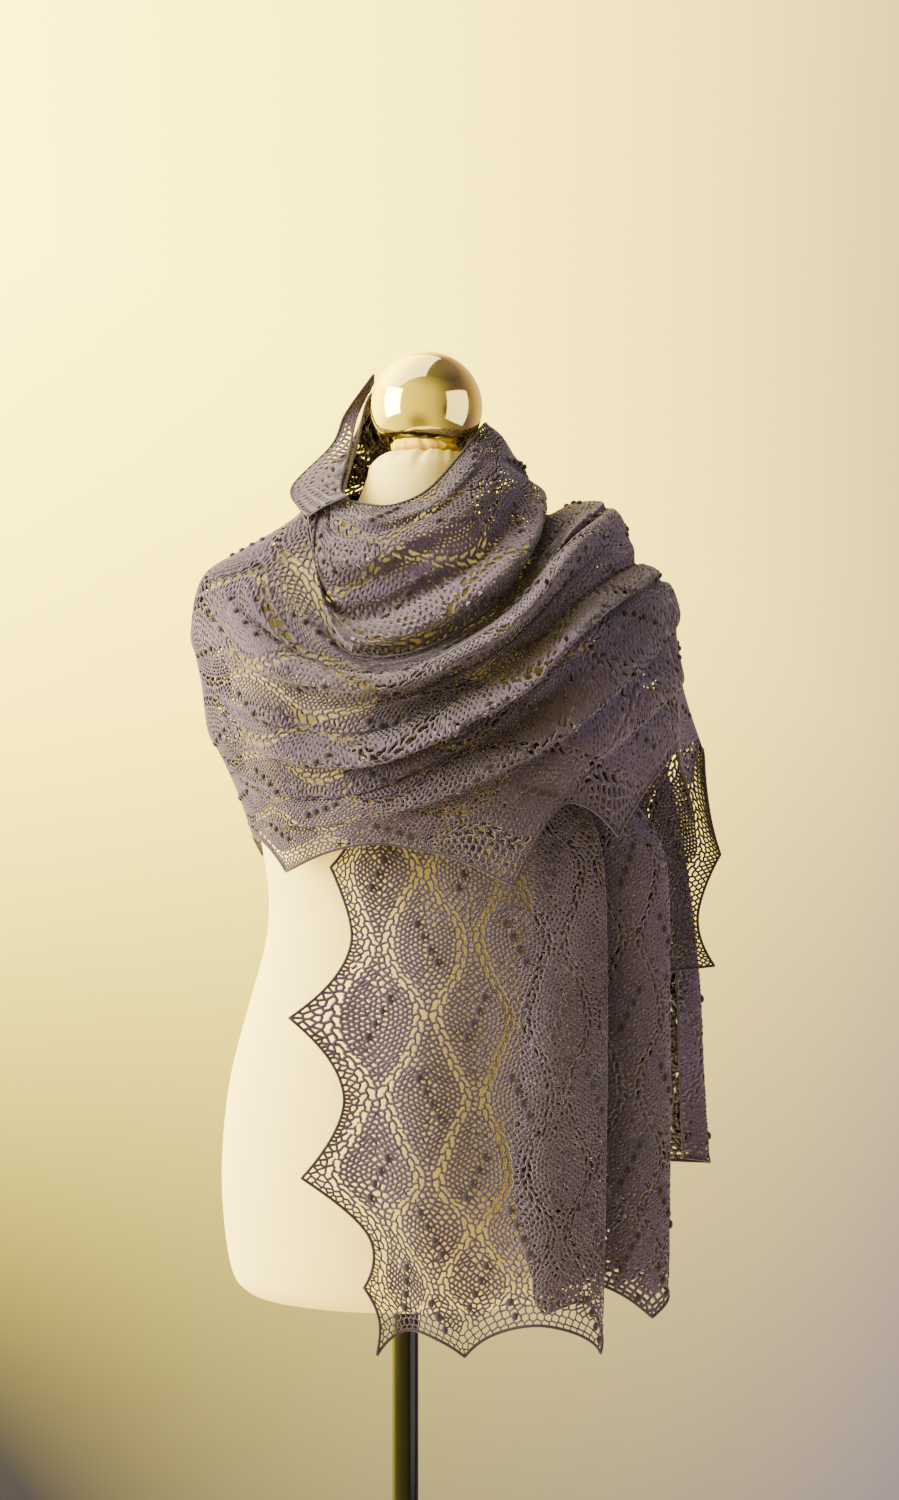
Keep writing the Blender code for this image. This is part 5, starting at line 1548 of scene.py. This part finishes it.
class SHAWL_OT_back_falls(bpy.types.Operator):
    """Build the folded end of the stole that hangs down the back"""

    bl_idname = "shawl.back_falls"
    bl_label = "Back falls"

    def execute(self, context):
        add_lace(context, "over", "first", 0.05, 15, (
            ("back_fall_over", (1.0, 6.0, 0.0, 5.0), ((1.0, 2.7), (6.0, 2.4)), ["shoulder_wrap_lace"]),
        ))
        add_lace(context, "under", "last", None, 16, (
            ("back_fall_under", (1.0, 5.0, 0.0, 5.0), ((1.0, 1.7), (5.0, 1.4)), ["shoulder_wrap_lace"]),
        ))
        return {"FINISHED"}


class SHAWL_OT_form(bpy.types.Operator):
    """Build the padded torso in its jersey cover"""

    bl_idname = "shawl.form"
    bl_label = "Dress form"

    def execute(self, context):
        props = context.scene.shawl_form
        made = padded_form("torso_jersey", props.segments, props.rows)
        settle(made, "torso", jersey_material(props))
        return {"FINISHED"}


class SHAWL_OT_stand(bpy.types.Operator):
    """Build the ball on the neck, the pole and the foot"""

    bl_idname = "shawl.stand"
    bl_label = "Ball and stand"

    def execute(self, context):
        props = context.scene.shawl_form
        steps = 48
        arc = [
            (BALL_RADIUS * math.sin(turn), BALL_CENTRE[2] + BALL_RADIUS * math.cos(turn))
            for turn in (math.pi * k / steps for k in range(steps + 1))
        ]
        arc[0], arc[-1] = (0.0, arc[0][1]), (0.0, arc[-1][1])
        ball = turned("neck_ball_polished", arc, BALL_CENTRE, 96)
        ball.data.shade_smooth()
        brass = metal_material("mirror_brass", tuple(props.brass_colour), 0.045, 0.10, 14.0)
        settle(ball, "neck_ball", brass)

        low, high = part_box("pole")
        radius, top, foot = (high[0] - low[0]) / 2, high[2], low[2]
        tube = ((0.0, top), (radius, top), (radius, foot), (0.0, foot))
        pole = turned("pole_polished", rounded(tube, 0.0006, 3), (0.0, 0.0), 64)
        # Painted reflection: the polished steel is drawn nearly black, for the dark room that it reflects
        steel = metal_material("steel_painted_dark_reflection", (0.024, 0.023, 0.024), 0.14, 0.26, 40.0)
        settle(pole, "pole", steel)

        low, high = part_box("base")
        radius, top = (high[0] - low[0]) / 2, high[2]
        dish = (
            (0.0, top), (0.023, top), (0.026, 0.020), (0.046, 0.016), (radius - 0.004, 0.010),
            (radius, 0.007), (radius, 0.0025), (radius - 0.003, 0.0), (0.0, 0.0),
        )
        foot = turned("base_painted", rounded(dish, 0.004), (0.0, 0.0), 128)
        settle(foot, "base", paint_material((0.035, 0.035, 0.038)))
        return {"FINISHED"}


class SHAWL_OT_stage(bpy.types.Operator):
    """Build the floor, the soft studio lights and the camera"""

    bl_idname = "shawl.stage"
    bl_label = "Stage"

    def execute(self, context):
        top, under = -0.0005, -0.01
        rim = ((0.0, top), (FLOOR_RADIUS, top), (FLOOR_RADIUS, under), (0.0, under))
        floor = turned("studio_floor", rim, (0.0, 0.0), 96)
        pale = Shader("pale_floor", 0.7)
        tones = ((0.3, (0.62, 0.59, 0.54)), (0.7, (0.68, 0.65, 0.60)))
        pale.link(pale.ramp(pale.noise(3.0, 3.0), tones), "Base Color")
        floor.data.materials.append(pale.material)

        world = bpy.data.worlds.new("studio_air")
        context.scene.world = world
        world.use_nodes = True
        tree = world.node_tree
        back = tree.nodes["Background"]
        where = tree.nodes.new("ShaderNodeTexCoord")
        parts = tree.nodes.new("ShaderNodeSeparateXYZ")
        tree.links.new(where.outputs["Generated"], parts.inputs[0])
        wall = air_ramp(tree, parts.outputs["X"], (-0.22, 0.22), AIR_LEFT, AIR_RIGHT)
        low = air_ramp(tree, parts.outputs["Z"], (-0.34, 0.02), AIR_LOW, (1.0, 1.0, 1.0))
        room = air_ramp(tree, parts.outputs["X"], (-0.9, 0.7), ROOM_LEFT, ROOM_RIGHT)
        behind = air_ramp(tree, parts.outputs["Y"], (-0.25, 0.30), (0.0, 0.0, 0.0), (1.0, 1.0, 1.0))
        air = mixed_air(tree, "MIX", behind, room, multiplied(tree, wall, low))
        for place, reach, colour in AIR_SHADES:
            away = tree.nodes.new("ShaderNodeVectorMath")
            away.operation = "DISTANCE"
            away.inputs[1].default_value = place
            tree.links.new(where.outputs["Generated"], away.inputs[0])
            air = multiplied(tree, air, air_ramp(tree, away.outputs["Value"], reach, colour, (1.0, 1.0, 1.0)))
        tree.links.new(air, back.inputs["Color"])
        back.inputs["Strength"].default_value = AIR_STRENGTH

        for name, place, aim, size, power, colour in SOFTBOXES:
            lamp = bpy.data.lights.new(name, "AREA")
            lamp.shape, lamp.size, lamp.size_y = "RECTANGLE", size[0], size[1]
            lamp.energy, lamp.color = power, colour
            box = bpy.data.objects.new(name, lamp)
            box.location = place
            box.rotation_euler = (Vector(aim) - Vector(place)).to_track_quat("-Z", "Y").to_euler()
            context.scene.collection.objects.link(box)

        lens = bpy.data.cameras.new("photo_camera")
        lens.sensor_fit, lens.sensor_width = "AUTO", 36.0
        lens.lens = CAMERA_LENS
        lens.clip_start = 0.05
        camera = bpy.data.objects.new("photo_camera", lens)
        camera.location = CAMERA_PLACE
        camera.rotation_euler = (math.radians(90), 0.0, 0.0)
        context.scene.collection.objects.link(camera)
        context.scene.camera = camera
        return {"FINISHED"}


class SHAWL_PT_panel(bpy.types.Panel):
    """Sizes, colours and builders of the shawl"""

    bl_idname = "SHAWL_PT_panel"
    bl_label = "Lace shawl"
    bl_space_type = "VIEW_3D"
    bl_region_type = "UI"
    bl_category = "Shawl"

    def draw(self, context):
        for group in (context.scene.shawl_cloth, context.scene.shawl_form):
            box = self.layout.box()
            for key in group.bl_rna.properties.keys():
                if key not in {"rna_type", "name"}:
                    box.prop(group, key)
        for operator in OPERATORS:
            self.layout.operator(operator.bl_idname)


OPERATORS = (
    SHAWL_OT_form, SHAWL_OT_stand, SHAWL_OT_neck_roll, SHAWL_OT_neck_flap, SHAWL_OT_wrap,
    SHAWL_OT_front_fall, SHAWL_OT_back_falls, SHAWL_OT_stage,
)
CLASSES = (ShawlCloth, ShawlForm, *OPERATORS, SHAWL_PT_panel)


def register():
    for cls in CLASSES:
        bpy.utils.register_class(cls)
    bpy.types.Scene.shawl_cloth = PointerProperty(type=ShawlCloth)
    bpy.types.Scene.shawl_form = PointerProperty(type=ShawlForm)


def unregister():
    del bpy.types.Scene.shawl_cloth
    del bpy.types.Scene.shawl_form
    for cls in reversed(CLASSES):
        bpy.utils.unregister_class(cls)


def main():
    register()
    bpy.ops.shawl.form()
    bpy.ops.shawl.stand()
    bpy.ops.shawl.neck_roll()
    bpy.ops.shawl.neck_flap()
    bpy.ops.shawl.wrap()
    bpy.ops.shawl.front_fall()
    bpy.ops.shawl.back_falls()
    bpy.ops.shawl.stage()


if __name__ == "__main__":
    main()
